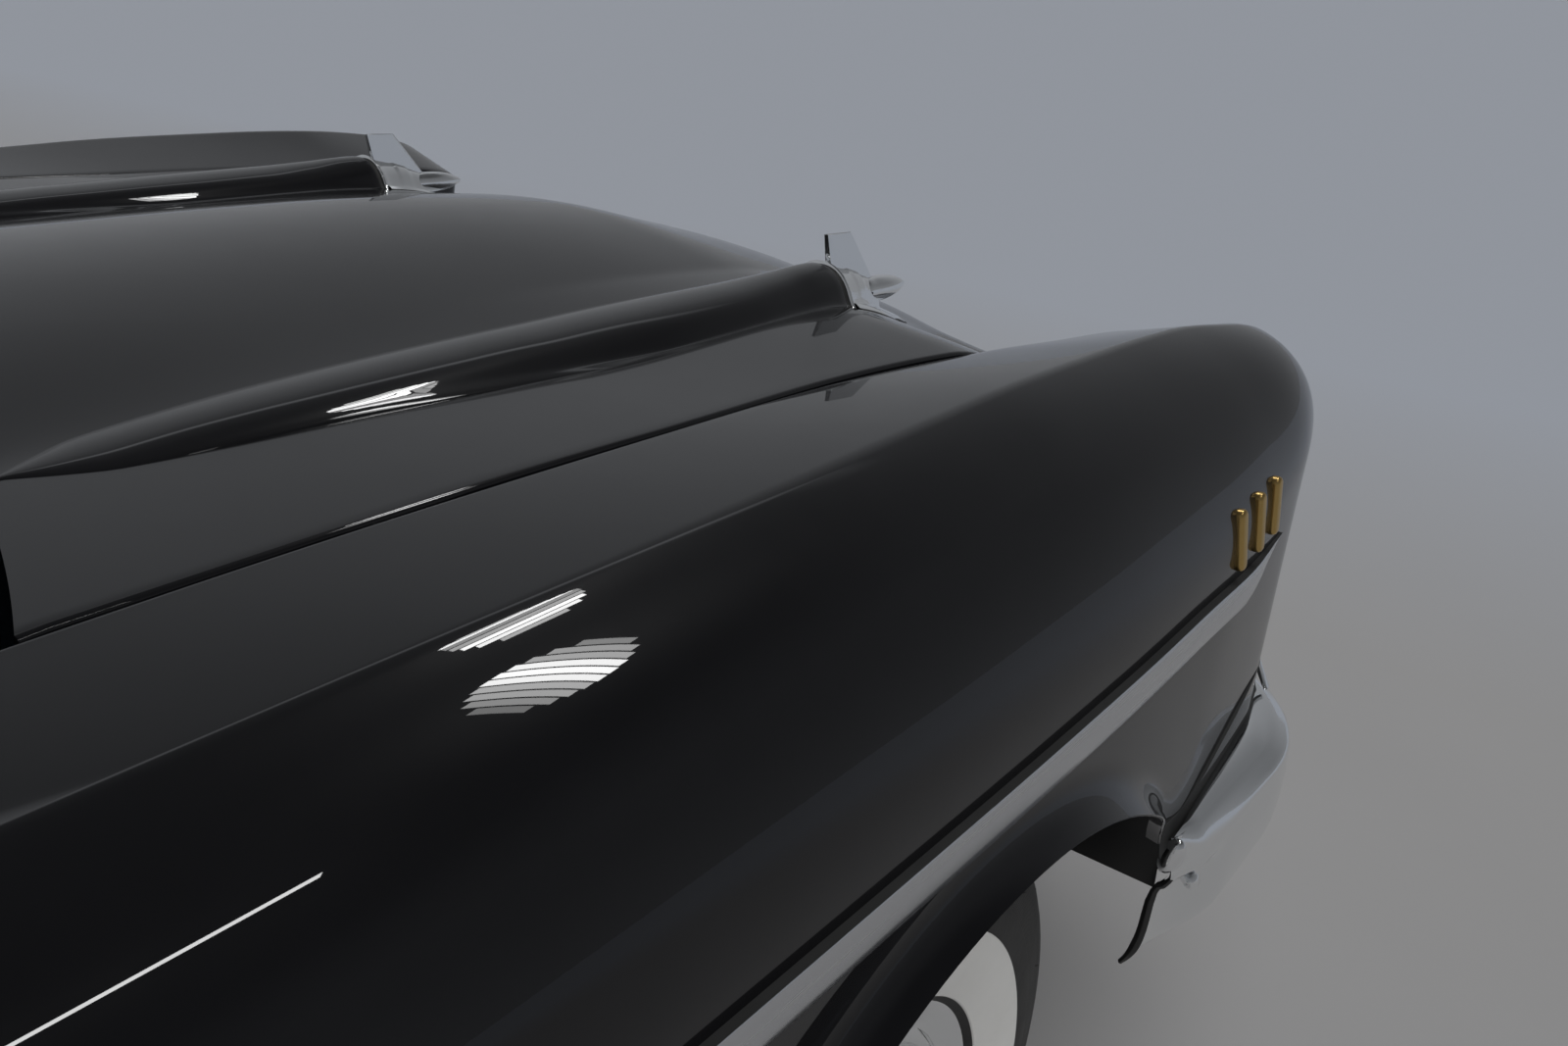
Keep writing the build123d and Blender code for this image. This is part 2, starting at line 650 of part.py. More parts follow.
def wheel():
    """Left steel wheel: rim and disc."""
    x = TRACK / 2
    bead = RIM_WIDTH / 2
    return revolve_x([
        (x - bead, RIM_RADIUS), (x - bead, RIM_RADIUS - 22), (x + 14, RIM_RADIUS - 30), (x + DRUM_FACE, 80),
        (x + DRUM_FACE, 30), (x + DRUM_FACE + 6, 30), (x + DRUM_FACE + 6, 80), (x + 20, RIM_RADIUS - 24),
        (x + bead, RIM_RADIUS - 22), (x + bead, RIM_RADIUS)])


def wheel_cover():
    """Left wheel cover: a stepped dish with a domed middle, held on the rim's edge."""
    edge = TRACK / 2 + RIM_WIDTH / 2 + SEAT
    dish = RIM_RADIUS - 24
    return revolve_x([
        (edge, RIM_RADIUS), (edge + 5, COVER_RADIUS), (edge + 12, COVER_RADIUS - 3),
        (edge + 5, dish + 10), (edge - 3, dish - 14), (edge - 4, 95), (edge + 18, 62), (edge + 30, 0),
        (edge + 26, 0), (edge + 14, 60), (edge - 8, 94), (edge - 8, dish - 14), (edge, dish)])


def drum():
    """Left brake drum with its hub, turning on the spindle."""
    x = TRACK / 2
    inner = KINGPIN_X + BACKING_OFFSET + 4 + RUNNING_GAP
    face = x + DRUM_FACE
    bore = SPINDLE_RADIUS + PIN_GAP
    return revolve_x([(inner, DRUM_RADIUS), (face, DRUM_RADIUS), (face, bore), (x - 30, bore), (x - 30, 36),
                      (face - 12, 36), (face - 12, DRUM_RADIUS - 10), (inner, DRUM_RADIUS - 10)])


def track_rod():
    """Rod that joins the two steering arms behind the axle."""
    z = TYRE_RADIUS - STEER_ARM_DROP - 16 - 22
    rod = rod_x(-KINGPIN_X + 4, KINGPIN_X - 4, STEER_ARM, z, 12)
    for side in (-1, 1):
        rod = rod + rod_z(side * KINGPIN_X, STEER_ARM, z - 16, z + 16, 14)
        rod = rod + rod_z(side * KINGPIN_X, STEER_ARM, z, TYRE_RADIUS - STEER_ARM_DROP + 6, 8)
    return rod


# Bumper, grille and lamps

def bumper_section():
    """Section of the bumper at the centre line: a curved face with a top flange."""
    top = BUMPER_Z + BUMPER_HEIGHT / 2
    foot = BUMPER_Z - BUMPER_HEIGHT / 2
    y = BUMPER_FRONT_Y
    wall = BUMPER_WALL
    edges = [
        ((FLANGE_DEPTH, top - 6), (12, top), None),
        ((12, top), (FOOT_SETBACK, foot), (0, BUMPER_Z)),
        ((FOOT_SETBACK, foot), (FOOT_SETBACK + wall, foot), None),
        ((FOOT_SETBACK + wall, foot), (12 + wall, top - wall), (wall, BUMPER_Z)),
        ((12 + wall, top - wall), (FLANGE_DEPTH, top - 6 - wall), None),
        ((FLANGE_DEPTH, top - 6 - wall), (FLANGE_DEPTH, top - 6), None),
    ]
    wire = []
    for start, end, middle in edges:
        a = (0, y + start[0], start[1])
        b = (0, y + end[0], end[1])
        if middle:
            wire.append(Edge.make_three_point_arc(a, (0, y + middle[0], middle[1]), b))
        else:
            wire.append(Edge.make_line(a, b))
    return Face(Wire(wire))


def bumper():
    """Front bumper: one bar that wraps round both corners."""
    corner = BUMPER_CORNER
    start = Vector(BUMPER_SIDE_X - corner, BUMPER_FRONT_Y, BUMPER_Z)
    straight = Edge.make_line((0, BUMPER_FRONT_Y, BUMPER_Z), start)
    middle = start + Vector(sin(radians(45)), 1 - cos(radians(45)), 0) * corner
    turn = Edge.make_three_point_arc(start, middle, (BUMPER_SIDE_X, BUMPER_FRONT_Y + corner, BUMPER_Z))
    tail = Edge.make_line((BUMPER_SIDE_X, BUMPER_FRONT_Y + corner, BUMPER_Z),
                          (BUMPER_SIDE_X, BUMPER_TAIL_Y, BUMPER_Z))
    half = sweep(bumper_section(), path=Wire([straight, turn, tail]))
    top = BUMPER_Z + BUMPER_HEIGHT / 2 + 5
    rear = BUMPER_TAIL_Y + 5
    end = side_plate([(rear - 65, top), (rear, top), (rear, BUMPER_Z - 60)], BUMPER_SIDE_X - 100,
                     BUMPER_SIDE_X + 20)
    half = half - end
    return half + mirrored(half)


def bumper_bracket(bar):
    """Left bracket from the rail's front end to the bumper."""
    x = RAIL_SPACING / 2
    arm = box(x - BRACKET_HALF_WIDTH, x + BRACKET_HALF_WIDTH, BUMPER_FRONT_Y + BUMPER_WALL, RAIL_FRONT_Y,
              RAIL_Z - BRACKET_HALF_HEIGHT, RAIL_Z + BRACKET_HALF_HEIGHT)
    return Compound(children=biggest(arm - bar))


def bumper_guard(bar):
    """Left bumper guard: a bullet on the bumper's face."""
    y = BUMPER_FRONT_Y
    bullet = revolve_y([(0, y + 10), (GUARD_RADIUS, y + 10), (GUARD_RADIUS, y - 45),
                        (GUARD_RADIUS * 0.8, y - 72), (GUARD_RADIUS * 0.4, y - 90), (0, y - 95)])
    return Compound(children=biggest(Pos(GUARD_X, 0, BUMPER_Z + 20) * bullet - bar))


def grille():
    """Grille screen: a frame with fine upright and level bars."""
    depth = 6.0
    half = GRILLE_HALF
    frame = box(-half, half, GRILLE_Y, GRILLE_Y + 20, GRILLE_FOOT, GRILLE_TOP)
    frame = frame - box(-half + GRILLE_RIM, half - GRILLE_RIM, GRILLE_Y - 5, GRILLE_Y + 30,
                        GRILLE_FOOT + GRILLE_RIM, GRILLE_TOP - GRILLE_RIM)
    pitch = 2 * half / (GRILLE_COLUMNS + 1)
    for index in range(GRILLE_COLUMNS):
        x = -half + pitch * (index + 1)
        frame = frame + box(x - GRILLE_BAR / 2, x + GRILLE_BAR / 2, GRILLE_Y + 4, GRILLE_Y + 4 + depth,
                            GRILLE_FOOT + 5, GRILLE_TOP - 5)
    rise = (GRILLE_TOP - GRILLE_FOOT) / (GRILLE_ROWS + 1)
    for index in range(GRILLE_ROWS):
        z = GRILLE_FOOT + rise * (index + 1)
        frame = frame + box(-half + 5, half - 5, GRILLE_Y + 4, GRILLE_Y + 4 + depth, z - GRILLE_BAR / 2,
                            z + GRILLE_BAR / 2)
    return frame


def grille_bar():
    """Bright bar across the grille with a round lamp pod at each end."""
    z = (GRILLE_TOP + GRILLE_FOOT) / 2 - 20
    bar = rod_x(-POD_X + 30, POD_X - 30, GRILLE_Y - BAR_RADIUS - 4, z, BAR_RADIUS)
    for side in (-1, 1):
        bar = bar + rod_y(side * POD_X, GRILLE_Y - 70, GRILLE_Y + 4 - SEAT, z, POD_RADIUS)
    return bar


def grille_surround():
    """Bright frame round the grille, from the hood's nose down to the valance."""
    half = GRILLE_HALF
    wall = SURROUND_WALL
    outer = box(-half, half, SURROUND_FRONT_Y, GRILLE_Y - SEAT, GRILLE_FOOT - wall, GRILLE_TOP + wall)
    opening = box(-half + wall, half - wall, SURROUND_FRONT_Y - 5, GRILLE_Y + 5, GRILLE_FOOT, GRILLE_TOP)
    return outer - opening


def valance():
    """Painted apron under the grille, with its turned-back foot and a notch for each bracket."""
    top = GRILLE_FOOT - SURROUND_WALL - SEAT
    lean = VALANCE_Y - 20
    apron = side_plate([(lean, top), (lean + SHEET, top), (VALANCE_Y + SHEET, VALANCE_FOOT + SHEET),
                        (VALANCE_Y + 60, VALANCE_FOOT + SHEET), (VALANCE_Y + 60, VALANCE_FOOT),
                        (VALANCE_Y, VALANCE_FOOT)], -GRILLE_HALF, GRILLE_HALF)
    reach = BRACKET_HALF_HEIGHT + SHEET
    for side in (-1, 1):
        x = side * RAIL_SPACING / 2
        half = BRACKET_HALF_WIDTH + SEAT
        apron = apron - box(x - half, x + half, lean - 10, RAIL_FRONT_Y, RAIL_Z - reach, RAIL_Z + reach)
    return apron


def headlamp():
    """Left headlamp: a domed lens with its bucket."""
    lens = LAMP_RADIUS - 4
    turned = revolve_y([(0, -22), (40, -18), (lens, -4), (lens, 60), (46, 108), (0, 108)])
    return lamp_place() * turned


def lamp_place():
    """Place of the left headlamp: its axis leans with the nose."""
    return Pos(LAMP_X, nose_y(LAMP_Z), LAMP_Z) * Rot(NOSE_LEAN, 0, 0)


def headlamp_ring():
    """Left headlamp ring: the bright rim around the lens."""
    lens = LAMP_RADIUS - 4 + SEAT
    turned = revolve_y([(lens, -BEZEL_DEPTH), (BEZEL_RADIUS - 6, -BEZEL_DEPTH), (BEZEL_RADIUS, -SEAT),
                        (lens, -SEAT)])
    return lamp_place() * turned


# Engine bay

def radiator_support():
    """Support panel behind the grille, with its opening for the radiator."""
    foot = RAIL_Z + RAIL_HEIGHT / 2 + SEAT
    panel = box(-SUPPORT_HALF, SUPPORT_HALF, SUPPORT_Y, SUPPORT_Y + SUPPORT_DEPTH, foot, SUPPORT_TOP)
    return panel - box(-RADIATOR_HALF + 25, RADIATOR_HALF - 25, SUPPORT_Y - 20, SUPPORT_Y + 60,
                       RADIATOR_FOOT + TANK_RIM, RADIATOR_TOP - TANK_RIM)


def radiator():
    """Radiator core with its two tanks."""
    front = SUPPORT_Y + SUPPORT_DEPTH + SEAT
    return box(-RADIATOR_HALF, RADIATOR_HALF, front, front + RADIATOR_DEPTH, RADIATOR_FOOT, RADIATOR_TOP)


def engine():
    """Engine: one plain V-shaped block at its real place, with the round air cleaner."""
    half = SUMP_HALF
    block = front_plate([(-half, SUMP_Z), (half, SUMP_Z), (half + 40, SUMP_Z + 150), (HEAD_X, HEAD_Z),
                         (HEAD_X - 70, HEAD_Z + 100), (half - 20, HEAD_Z + 120), (20 - half, HEAD_Z + 120),
                         (70 - HEAD_X, HEAD_Z + 100), (-HEAD_X, HEAD_Z), (-half - 40, SUMP_Z + 150)],
                        ENGINE_FRONT_Y, ENGINE_REAR_Y)
    return block + rod_z(0, 60, HEAD_Z + 115, CLEANER_TOP, CLEANER_RADIUS)


def engine_mount(block):
    """Left engine mount between the block and the crossmember."""
    foot = box(SUMP_HALF - 10, SUMP_HALF + 80, -40, 40, RAIL_Z - 60 + SEAT, RAIL_Z + 40)
    return Compound(children=biggest(foot - block))


def inner_fender():
    """Left inner fender: the engine-bay wall, the shelf over the wheel and its bolting flange."""
    front = SUPPORT_Y + SUPPORT_DEPTH + SEAT
    back = FIREWALL_Y - SEAT
    flange_x = between(FENDER_SECTIONS, 1, SPEAR_FRONT_Y) + SHEET + SEAT
    wall = box(INNER_WALL_X, INNER_WALL_X + SHEET, front, back, WALL_FOOT_Z, SHELF_Z)
    shelf = box(INNER_WALL_X, flange_x + SHEET, WALL_BACK_Y + 20, back, SHELF_Z, SHELF_Z + SHEET)
    flange = box(flange_x, flange_x + SHEET, WALL_BACK_Y + 20, back, SHELF_Z, SEAM_FLANGE_Z + 10)
    return wall + shelf + flange


def frame_shift(shape):
    """Move a piece from the drawing frame to the frame of the rail-end mount."""
    return Pos(0, -CUT_Y, -RAIL_Z) * shape


def build():
    """Make every piece."""
    shell = fender()
    both_sides("fender", shell)
    paired("side_mouldings", Compound(children=biggest(moulding() - shell)))
    paired("fender_marks", fender_marks(shell))
    paired("headlamps", headlamp())
    paired("headlamp_rings", headlamp_ring())
    panel = hood()
    parts["hood_panel"] = panel
    paired("hood_ornaments", ornament(panel))
    paired("hood_hinge_arms", hinge_arm())
    paired("hinge_brackets", hinge_bracket())
    parts["cowl_panel"] = cowl()
    parts["firewall"] = firewall()
    both_sides("frame_rail", rail())
    parts["crossmember"] = crossmember()
    paired("lower_arms", wishbone(LOWER_PIVOT_X, lower_arm_z(), 110, 400))
    paired("upper_arms", wishbone(UPPER_PIVOT_X, upper_arm_z(), 90, 560))
    paired("coil_springs", coil_spring())
    both_sides("knuckle", knuckle())
    both_sides("tyre", tyre())
    both_sides("wheel", wheel())
    both_sides("wheel_cover", wheel_cover())
    both_sides("brake_drum", drum())
    parts["track_rod"] = track_rod()
    bar = bumper()
    parts["bumper"] = bar
    paired("bumper_brackets", bumper_bracket(bar))
    paired("bumper_guards", bumper_guard(bar))
    parts["grille"] = grille()
    parts["grille_bar"] = grille_bar()
    parts["grille_surround"] = grille_surround()
    parts["front_valance"] = valance()
    parts["radiator_support"] = radiator_support()
    parts["radiator"] = radiator()
    block = engine()
    parts["engine"] = block
    paired("engine_mounts", engine_mount(block))
    both_sides("inner_fender", inner_fender())
    os.makedirs("parts", exist_ok=True)
    for name, shape in parts.items():
        export_step(frame_shift(shape), "parts/" + name + ".step")


build()
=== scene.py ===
from math import atan2, cos, pi, radians, sin, sqrt, tan

import bmesh
import bpy
from bpy.props import FloatProperty, FloatVectorProperty, IntProperty, PointerProperty
from mathutils import Matrix, Vector


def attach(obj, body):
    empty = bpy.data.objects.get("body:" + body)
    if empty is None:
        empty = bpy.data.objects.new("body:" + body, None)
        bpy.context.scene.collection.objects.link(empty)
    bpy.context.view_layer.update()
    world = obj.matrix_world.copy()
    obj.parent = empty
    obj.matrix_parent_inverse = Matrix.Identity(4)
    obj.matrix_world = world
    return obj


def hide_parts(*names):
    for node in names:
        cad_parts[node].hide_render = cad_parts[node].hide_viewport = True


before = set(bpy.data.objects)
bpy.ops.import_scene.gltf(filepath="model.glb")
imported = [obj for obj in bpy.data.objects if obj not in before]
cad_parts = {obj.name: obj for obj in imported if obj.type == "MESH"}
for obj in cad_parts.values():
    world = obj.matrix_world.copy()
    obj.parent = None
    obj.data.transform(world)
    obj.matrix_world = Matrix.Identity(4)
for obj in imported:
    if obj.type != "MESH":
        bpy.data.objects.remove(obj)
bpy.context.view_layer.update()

bl_info = {
    "name": "Fifties front end",
    "version": (1, 0, 0),
    "blender": (4, 5, 0),
    "location": "3D View > Sidebar > Front End",
    "description": "Dresses the front end of a 1950s car with its panels, trim, lamps and wheels",
    "category": "Object",
}

# The car is drawn in millimetres with the front axle at y = 0 and the road at z = 0;
# forward is -Y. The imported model's origin lies at the rail ends.
CUT_Y = 800.0
RAIL_Z = 400.0

TRACK = 1473.0
TYRE_RADIUS = 343.0
ARCH_Y = -50.0
ARCH_Z = 343.0
ARCH_LENGTH = 414.0
ARCH_HEIGHT = 352.0
ARCH_REAR_Y = ARCH_Y + ARCH_LENGTH
ARCH_FRONT_Y = -389.0
ARCH_END = pi - 0.5368
LIP_X = 919.5
FLARE_REACH = 45.0
REAR_FOOT = 250.0
FRONT_FOOT = 520.0
SIDE_CREASE_X = 800.0
NOSE_TOP_Y = -868.0
NOSE_TOP_Z = 914.0
NOSE_JOIN_Y = -700.0
NOSE_ANGLE = radians(10.0)
NOSE_LEAN = tan(NOSE_ANGLE)
NOSE_ROUND = 26.0
COWL_FRONT_Y = 340.0
COWL_RADIUS = 1400.0
COWL_GAP = 8.0
COWL_HALF = 722.0
COWL_REAR_Y = 770.0
COWL_Z = 979.0
COWL_RISE = 33.0
CROWN_HALF = 372.0
HOOD_FRONT_Y = -856.0
HOOD_HEM = 17.5
NOSE_DROP = 50.0
SWELL_X = 430.0
SWELL_HALF = 170.0
SWELL_HEIGHT = 13.0
SPEAR_X = 388.0
SPEAR_TAIL_Y = 378.0
LAMP_X = 728.0
LAMP_Z = 790.0
MARK_YS = (-611.0, -558.0, -503.0)
MARK_Z = 806.0
BUMPER_Z = 425.0
BUMPER_FRONT_Y = -905.0
BUMPER_SIDE_X = 915.0
BUMPER_CORNER = 230.0
BUMPER_TAIL_Y = -442.0
GUARD_X = 400.0
SUPPORT_FRONT_Y = -560.0
SIDES = ((1, "left"), (-1, "right"))

# y, seam x, seam z, ridge x, ridge z, side x, side z, foot x
FENDER_SECTIONS = (
    (790.0, 600.0, 980.0, 742.0, 974.0, 890.0, 775.0, 880.0),
    (400.0, 600.0, 978.0, 739.0, 974.0, 891.0, 772.0, 884.0),
    (0.0, 600.0, 967.0, 737.0, 974.0, 891.0, 770.0, 885.0),
    (-240.0, 593.0, 952.0, 736.0, 974.0, 889.0, 770.0, 883.0),
    (-480.0, 602.0, 932.0, 736.0, 966.0, 881.0, 774.0, 874.0),
    (-620.0, 608.0, 916.0, 736.0, 957.0, 870.0, 788.0, 864.0),
    (-740.0, 614.0, 903.0, 746.0, 941.0, 856.0, 806.0, 850.0),
    (-815.0, 622.0, 890.0, 747.0, 924.0, 840.0, 812.0, 834.0),
    (-880.0, 634.0, 868.0, 742.0, 896.0, 818.0, 812.0, 812.0),
)
# y, edge x, edge z, shoulder z, crown z
HOOD_SECTIONS = (
    (470.0, 595.0, 979.0, 979.0, 1012.0),
    (200.0, 595.0, 975.0, 976.0, 1013.5),
    (0.0, 595.0, 967.0, 968.0, 1011.0),
    (-240.0, 587.0, 952.0, 953.0, 1003.0),
    (-480.0, 595.0, 931.0, 932.0, 979.0),
    (-620.0, 602.0, 905.0, 907.0, 942.0),
    (-740.0, 608.0, 865.0, 868.0, 905.0),
    (-815.0, 615.0, 826.0, 830.0, 872.0),
    (-856.0, 620.0, 792.0, 796.0, 840.0),
)
# y, half width at the foot, crest height over the hood, softness of the foot
SPEAR_SECTIONS = (
    (378.0, 2.0, 0.8, 0.0),
    (345.0, 21.0, 3.5, 0.0),
    (310.0, 35.0, 6.5, 0.0),
    (240.0, 43.0, 11.0, 0.0),
    (130.0, 52.0, 15.5, 0.1),
    (20.0, 60.0, 20.0, 0.4),
    (-80.0, 65.0, 23.5, 0.7),
    (-190.0, 70.0, 25.5, 1.0),
    (-330.0, 64.0, 26.0, 1.0),
    (-400.0, 58.0, 29.0, 1.0),
    (-480.0, 52.0, 38.0, 1.0),
)
# share of the half width, share of the height: a round top on a short flared foot
ARCH = (
    (0.0, 1.0), (0.15, 0.985), (0.30, 0.93), (0.43, 0.835), (0.53, 0.72), (0.62, 0.58),
    (0.69, 0.42), (0.74, 0.27), (0.785, 0.13), (0.85, 0.04), (0.93, 0.008), (1.0, 0.0),
)


def car(x, y, z):
    """Point given in the car's millimetres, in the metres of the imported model."""
    return Vector((x / 1000, (y - CUT_Y) / 1000, (z - RAIL_Z) / 1000))


def car_rows(rows):
    """Rows of places given in the car's millimetres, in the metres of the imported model."""
    return [[car(*place) for place in row] for row in rows]


def line(rows, column, y):
    """Value of a table column at y, on a smooth line through the rows that doesn't overshoot."""
    places = [-row[0] for row in rows]
    values = [row[column] for row in rows]
    at = min(max(-y, places[0]), places[-1])
    steps = [(values[k + 1] - values[k]) / (places[k + 1] - places[k])
             for k in range(len(rows) - 1)]
    slopes = [steps[0]]
    for near, far in zip(steps, steps[1:]):
        slopes.append(0.0 if near * far <= 0 else 2 * near * far / (near + far))
    slopes.append(steps[-1])
    k = max(i for i in range(len(rows) - 1) if places[i] <= at)
    width = places[k + 1] - places[k]
    t = (at - places[k]) / width
    return (values[k] * (1 + 2 * t) * (1 - t) ** 2 + values[k + 1] * t * t * (3 - 2 * t)
            + width * (slopes[k] * t * (1 - t) ** 2 - slopes[k + 1] * t * t * (1 - t)))


def ease(low, high, value):
    """Smooth rise from 0 at low to 1 at high."""
    t = min(max((value - low) / (high - low), 0.0), 1.0)
    return t * t * (3 - 2 * t)


def spread(start, end, count):
    """Evenly spaced values from start to end."""
    return [start + (end - start) * k / (count - 1) for k in range(count)]


def columns_at(rows, y):
    """All the values of a table at y."""
    return [line(rows, column, y) for column in range(1, len(rows[0]))]


# Meshes

def grid_mesh(rows):
    """Grid whose points are moved onto rows of places; faces point out where rows run forward."""
    columns, lines = len(rows[0]) - 1, len(rows) - 1
    mesh = bmesh.new()
    bmesh.ops.create_grid(mesh, x_segments=columns, y_segments=lines, size=0.5)
    for vert in mesh.verts:
        i, j = round((vert.co.x + 0.5) * columns), round((vert.co.y + 0.5) * lines)
        vert.co = rows[j][i]
    bmesh.ops.reverse_faces(mesh, faces=mesh.faces)
    return mesh


def on_side(side, mesh):
    """A left piece as it is, or turned into the right one where side is -1."""
    if side < 0:
        bmesh.ops.scale(mesh, vec=(-1, 1, 1), verts=mesh.verts)
        bmesh.ops.reverse_faces(mesh, faces=mesh.faces)
    return mesh


def piece(name, mesh, body, look, replaces=(), sharp=35.0, wall=0.0):
    """Finished object from a bmesh, riding on a body; wall in millimetres thickens a sheet."""
    data = bpy.data.meshes.new(name)
    mesh.to_mesh(data)
    mesh.free()
    for face in data.polygons:
        face.use_smooth = True
    item = bpy.data.objects.new(name, data)
    bpy.context.scene.collection.objects.link(item)
    if wall:
        skin = item.modifiers.new("Wall", "SOLIDIFY")
        skin.thickness = wall / 1000
        skin.offset = -1
        skin.use_even_offset = False
        shape = item.evaluated_get(bpy.context.evaluated_depsgraph_get())
        item.data = bpy.data.meshes.new_from_object(shape)
        item.modifiers.clear()
    item.data.set_sharp_from_angle(angle=radians(sharp))
    for title in look if isinstance(look, tuple) else (look,):
        item.data.materials.append(finish(title))
    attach(item, body)
    if replaces:
        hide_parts(*replaces)


def turned(profile, centre, axis, steps=96):
    """Closed shape spun from a closed line of (along, radius) places, in millimetres."""
    axis = Vector(axis).normalized()
    side = axis.orthogonal().normalized()
    mesh = bmesh.new()
    verts = [mesh.verts.new(centre + (axis * along + side * radius) / 1000)
             for along, radius in profile]
    edges = [mesh.edges.new((a, b)) for a, b in zip(verts, verts[1:])]
    if profile[0][1] > 0.01 or profile[-1][1] > 0.01:
        edges.append(mesh.edges.new((verts[-1], verts[0])))
    bmesh.ops.spin(mesh, geom=verts + edges, cent=centre, axis=axis, angle=2 * pi, steps=steps,
                   use_merge=True)
    bmesh.ops.remove_doubles(mesh, verts=mesh.verts, dist=2e-6)
    bmesh.ops.recalc_face_normals(mesh, faces=mesh.faces)
    return mesh


def rounded(points, pulls=3):
    """Closed or open line drawn smoothly through its corners."""
    made = []
    for k in range(len(points) - 1):
        before, a, b = points[max(k - 1, 0)], points[k], points[k + 1]
        after = points[min(k + 2, len(points) - 1)]
        for step in range(pulls):
            t = step / pulls
            made.append(tuple(0.5 * (2 * q + (r - p) * t + (2 * p - 5 * q + 4 * r - s) * t * t
                                     + (3 * q - p - 3 * r + s) * t ** 3)
                              for p, q, r, s in zip(before, a, b, after)))
    made.append(tuple(points[-1]))
    return made


def bevelled(mesh, edges, offset, segments, clamp=False):
    """Round the edges of a mesh; offset in millimetres."""
    bmesh.ops.bevel(mesh, geom=edges, offset=offset / 1000, segments=segments, profile=0.5,
                    affect="EDGES", material=-1, clamp_overlap=clamp)


def closed(mesh):
    """Merge doubled points and turn the faces outwards."""
    bmesh.ops.remove_doubles(mesh, verts=mesh.verts, dist=1e-6)
    bmesh.ops.recalc_face_normals(mesh, faces=mesh.faces)
    return mesh


def block(size, place, turn=0.0, bevel=1.0):
    """Bevelled block, turned about Y in degrees; sizes in millimetres of the car."""
    mesh = bmesh.new()
    bmesh.ops.create_cube(mesh, size=1.0)
    bmesh.ops.scale(mesh, vec=[value / 1000 for value in size], verts=mesh.verts)
    bevelled(mesh, mesh.edges, bevel, 2)
    if turn:
        bmesh.ops.transform(mesh, matrix=Matrix.Rotation(radians(turn), 4, "Y"), verts=mesh.verts)
    bmesh.ops.translate(mesh, vec=car(*place), verts=mesh.verts)
    return mesh


def joined(meshes):
    """One bmesh of several."""
    whole = bmesh.new()
    for mesh in meshes:
        part = bpy.data.meshes.new("part")
        mesh.to_mesh(part)
        mesh.free()
        whole.from_mesh(part)
        bpy.data.meshes.remove(part)
    return whole


# Panels

def crown(x):
    """Share of the crown's height at x, alike on the hood and the cowl."""
    return max(1 - (x / CROWN_HALF) ** 2, 0.0) ** 1.5


def hood_height(x, y):
    """Height of the hood's surface without its spears."""
    edge_x, edge_z, shoulder_z, crown_z = columns_at(HOOD_SECTIONS, y)
    side = abs(x)
    nose = ease(-430.0, -680.0, y) * (1 - 0.8 * ease(-700.0, HOOD_FRONT_Y, y))
    swell = ease(-60.0, -460.0, y) * (1 - ease(-520.0, -700.0, y))
    height = shoulder_z + (edge_z - shoulder_z) * min(side / edge_x, 1.0)
    height -= NOSE_DROP * nose * ease(300.0, 540.0, side)
    height += SWELL_HEIGHT * swell * max(1 - ((side - SWELL_X) / SWELL_HALF) ** 2, 0.0)
    return height + (crown_z - shoulder_z) * crown(x)


def hood_rear(x):
    """Where the hood ends in front of the cowl."""
    return COWL_FRONT_Y + COWL_RADIUS - sqrt((COWL_RADIUS + COWL_GAP) ** 2 - x * x)


def hood_edge(y, roll):
    """Places round the hood's left edge at y: the rolled corner and the hem under it."""
    edge_x = line(HOOD_SECTIONS, 1, y)
    top = hood_height(edge_x - roll, y)
    hem = [(edge_x - roll + roll * sin(radians(turn)), y, top - roll * (1 - cos(radians(turn))))
           for turn in spread(18.0, 90.0, 5)]
    return hem + [(edge_x, y, top - roll - 6.0), (edge_x, y, top - HOOD_HEM)]


def hood_rows(sizes):
    """Rows of places over the hood, from its rear edge to its nose."""
    roll = sizes.edge_roll
    shares = [0.0] + spread(0.012, 0.9, 84) + spread(0.905, 0.985, 14) + spread(0.988, 1.0, 4)
    rows = []
    for share in shares:
        places = []
        for value in spread(-1.0, 1.0, 121):
            x = value * (line(HOOD_SECTIONS, 1, 0) - roll)
            y = hood_rear(x) + (HOOD_FRONT_Y - hood_rear(x)) * share
            x = value * (line(HOOD_SECTIONS, 1, y) - roll)
            places.append((x, y, hood_height(x, y)))
        right = [(-x, y, z) for x, y, z in hood_edge(places[0][1], roll)]
        rows.append(right[::-1] + places + hood_edge(places[-1][1], roll))
    rear = [[(x, y + back, z - down) for x, y, z in rows[0]] for back, down in ((2.0, 6.0), (1.5, 1.0))]
    front = [[(x, y + back, z - down) for x, y, z in rows[-1]] for back, down in ((-1.2, 3.0), (4.0, 7.0))]
    return car_rows(rear + rows[1:] + front)


def arch(share):
    """Height share of the round-topped section at a share of its half width."""
    for (near, high), (far, low) in zip(ARCH, ARCH[1:]):
        if share <= far:
            return high + (low - high) * (share - near) / (far - near)
    return 0.0


def arch_row(y, half, high, soft=1.0, sink=1.2, columns=41):
    """Places across a body that stands over the hood, from its inner foot to its outer one."""
    row = []
    for turn in spread(-90.0, 90.0, columns):
        s = sin(radians(turn))
        x = SPEAR_X + half * s
        shape = (1 - soft) * max(1 - s * s, 0.0) ** 0.62 + soft * arch(abs(s))
        row.append(car(x, y, hood_height(x, y) - sink + (high + sink) * shape))
    return row


# y, distance by which the spear's rounded end has shrunk
SPEAR_END = ((-479.4, 0.3), (-480.8, 1.2), (-481.7, 2.6), (-482.0, 4.4), (-479.0, 9.0))


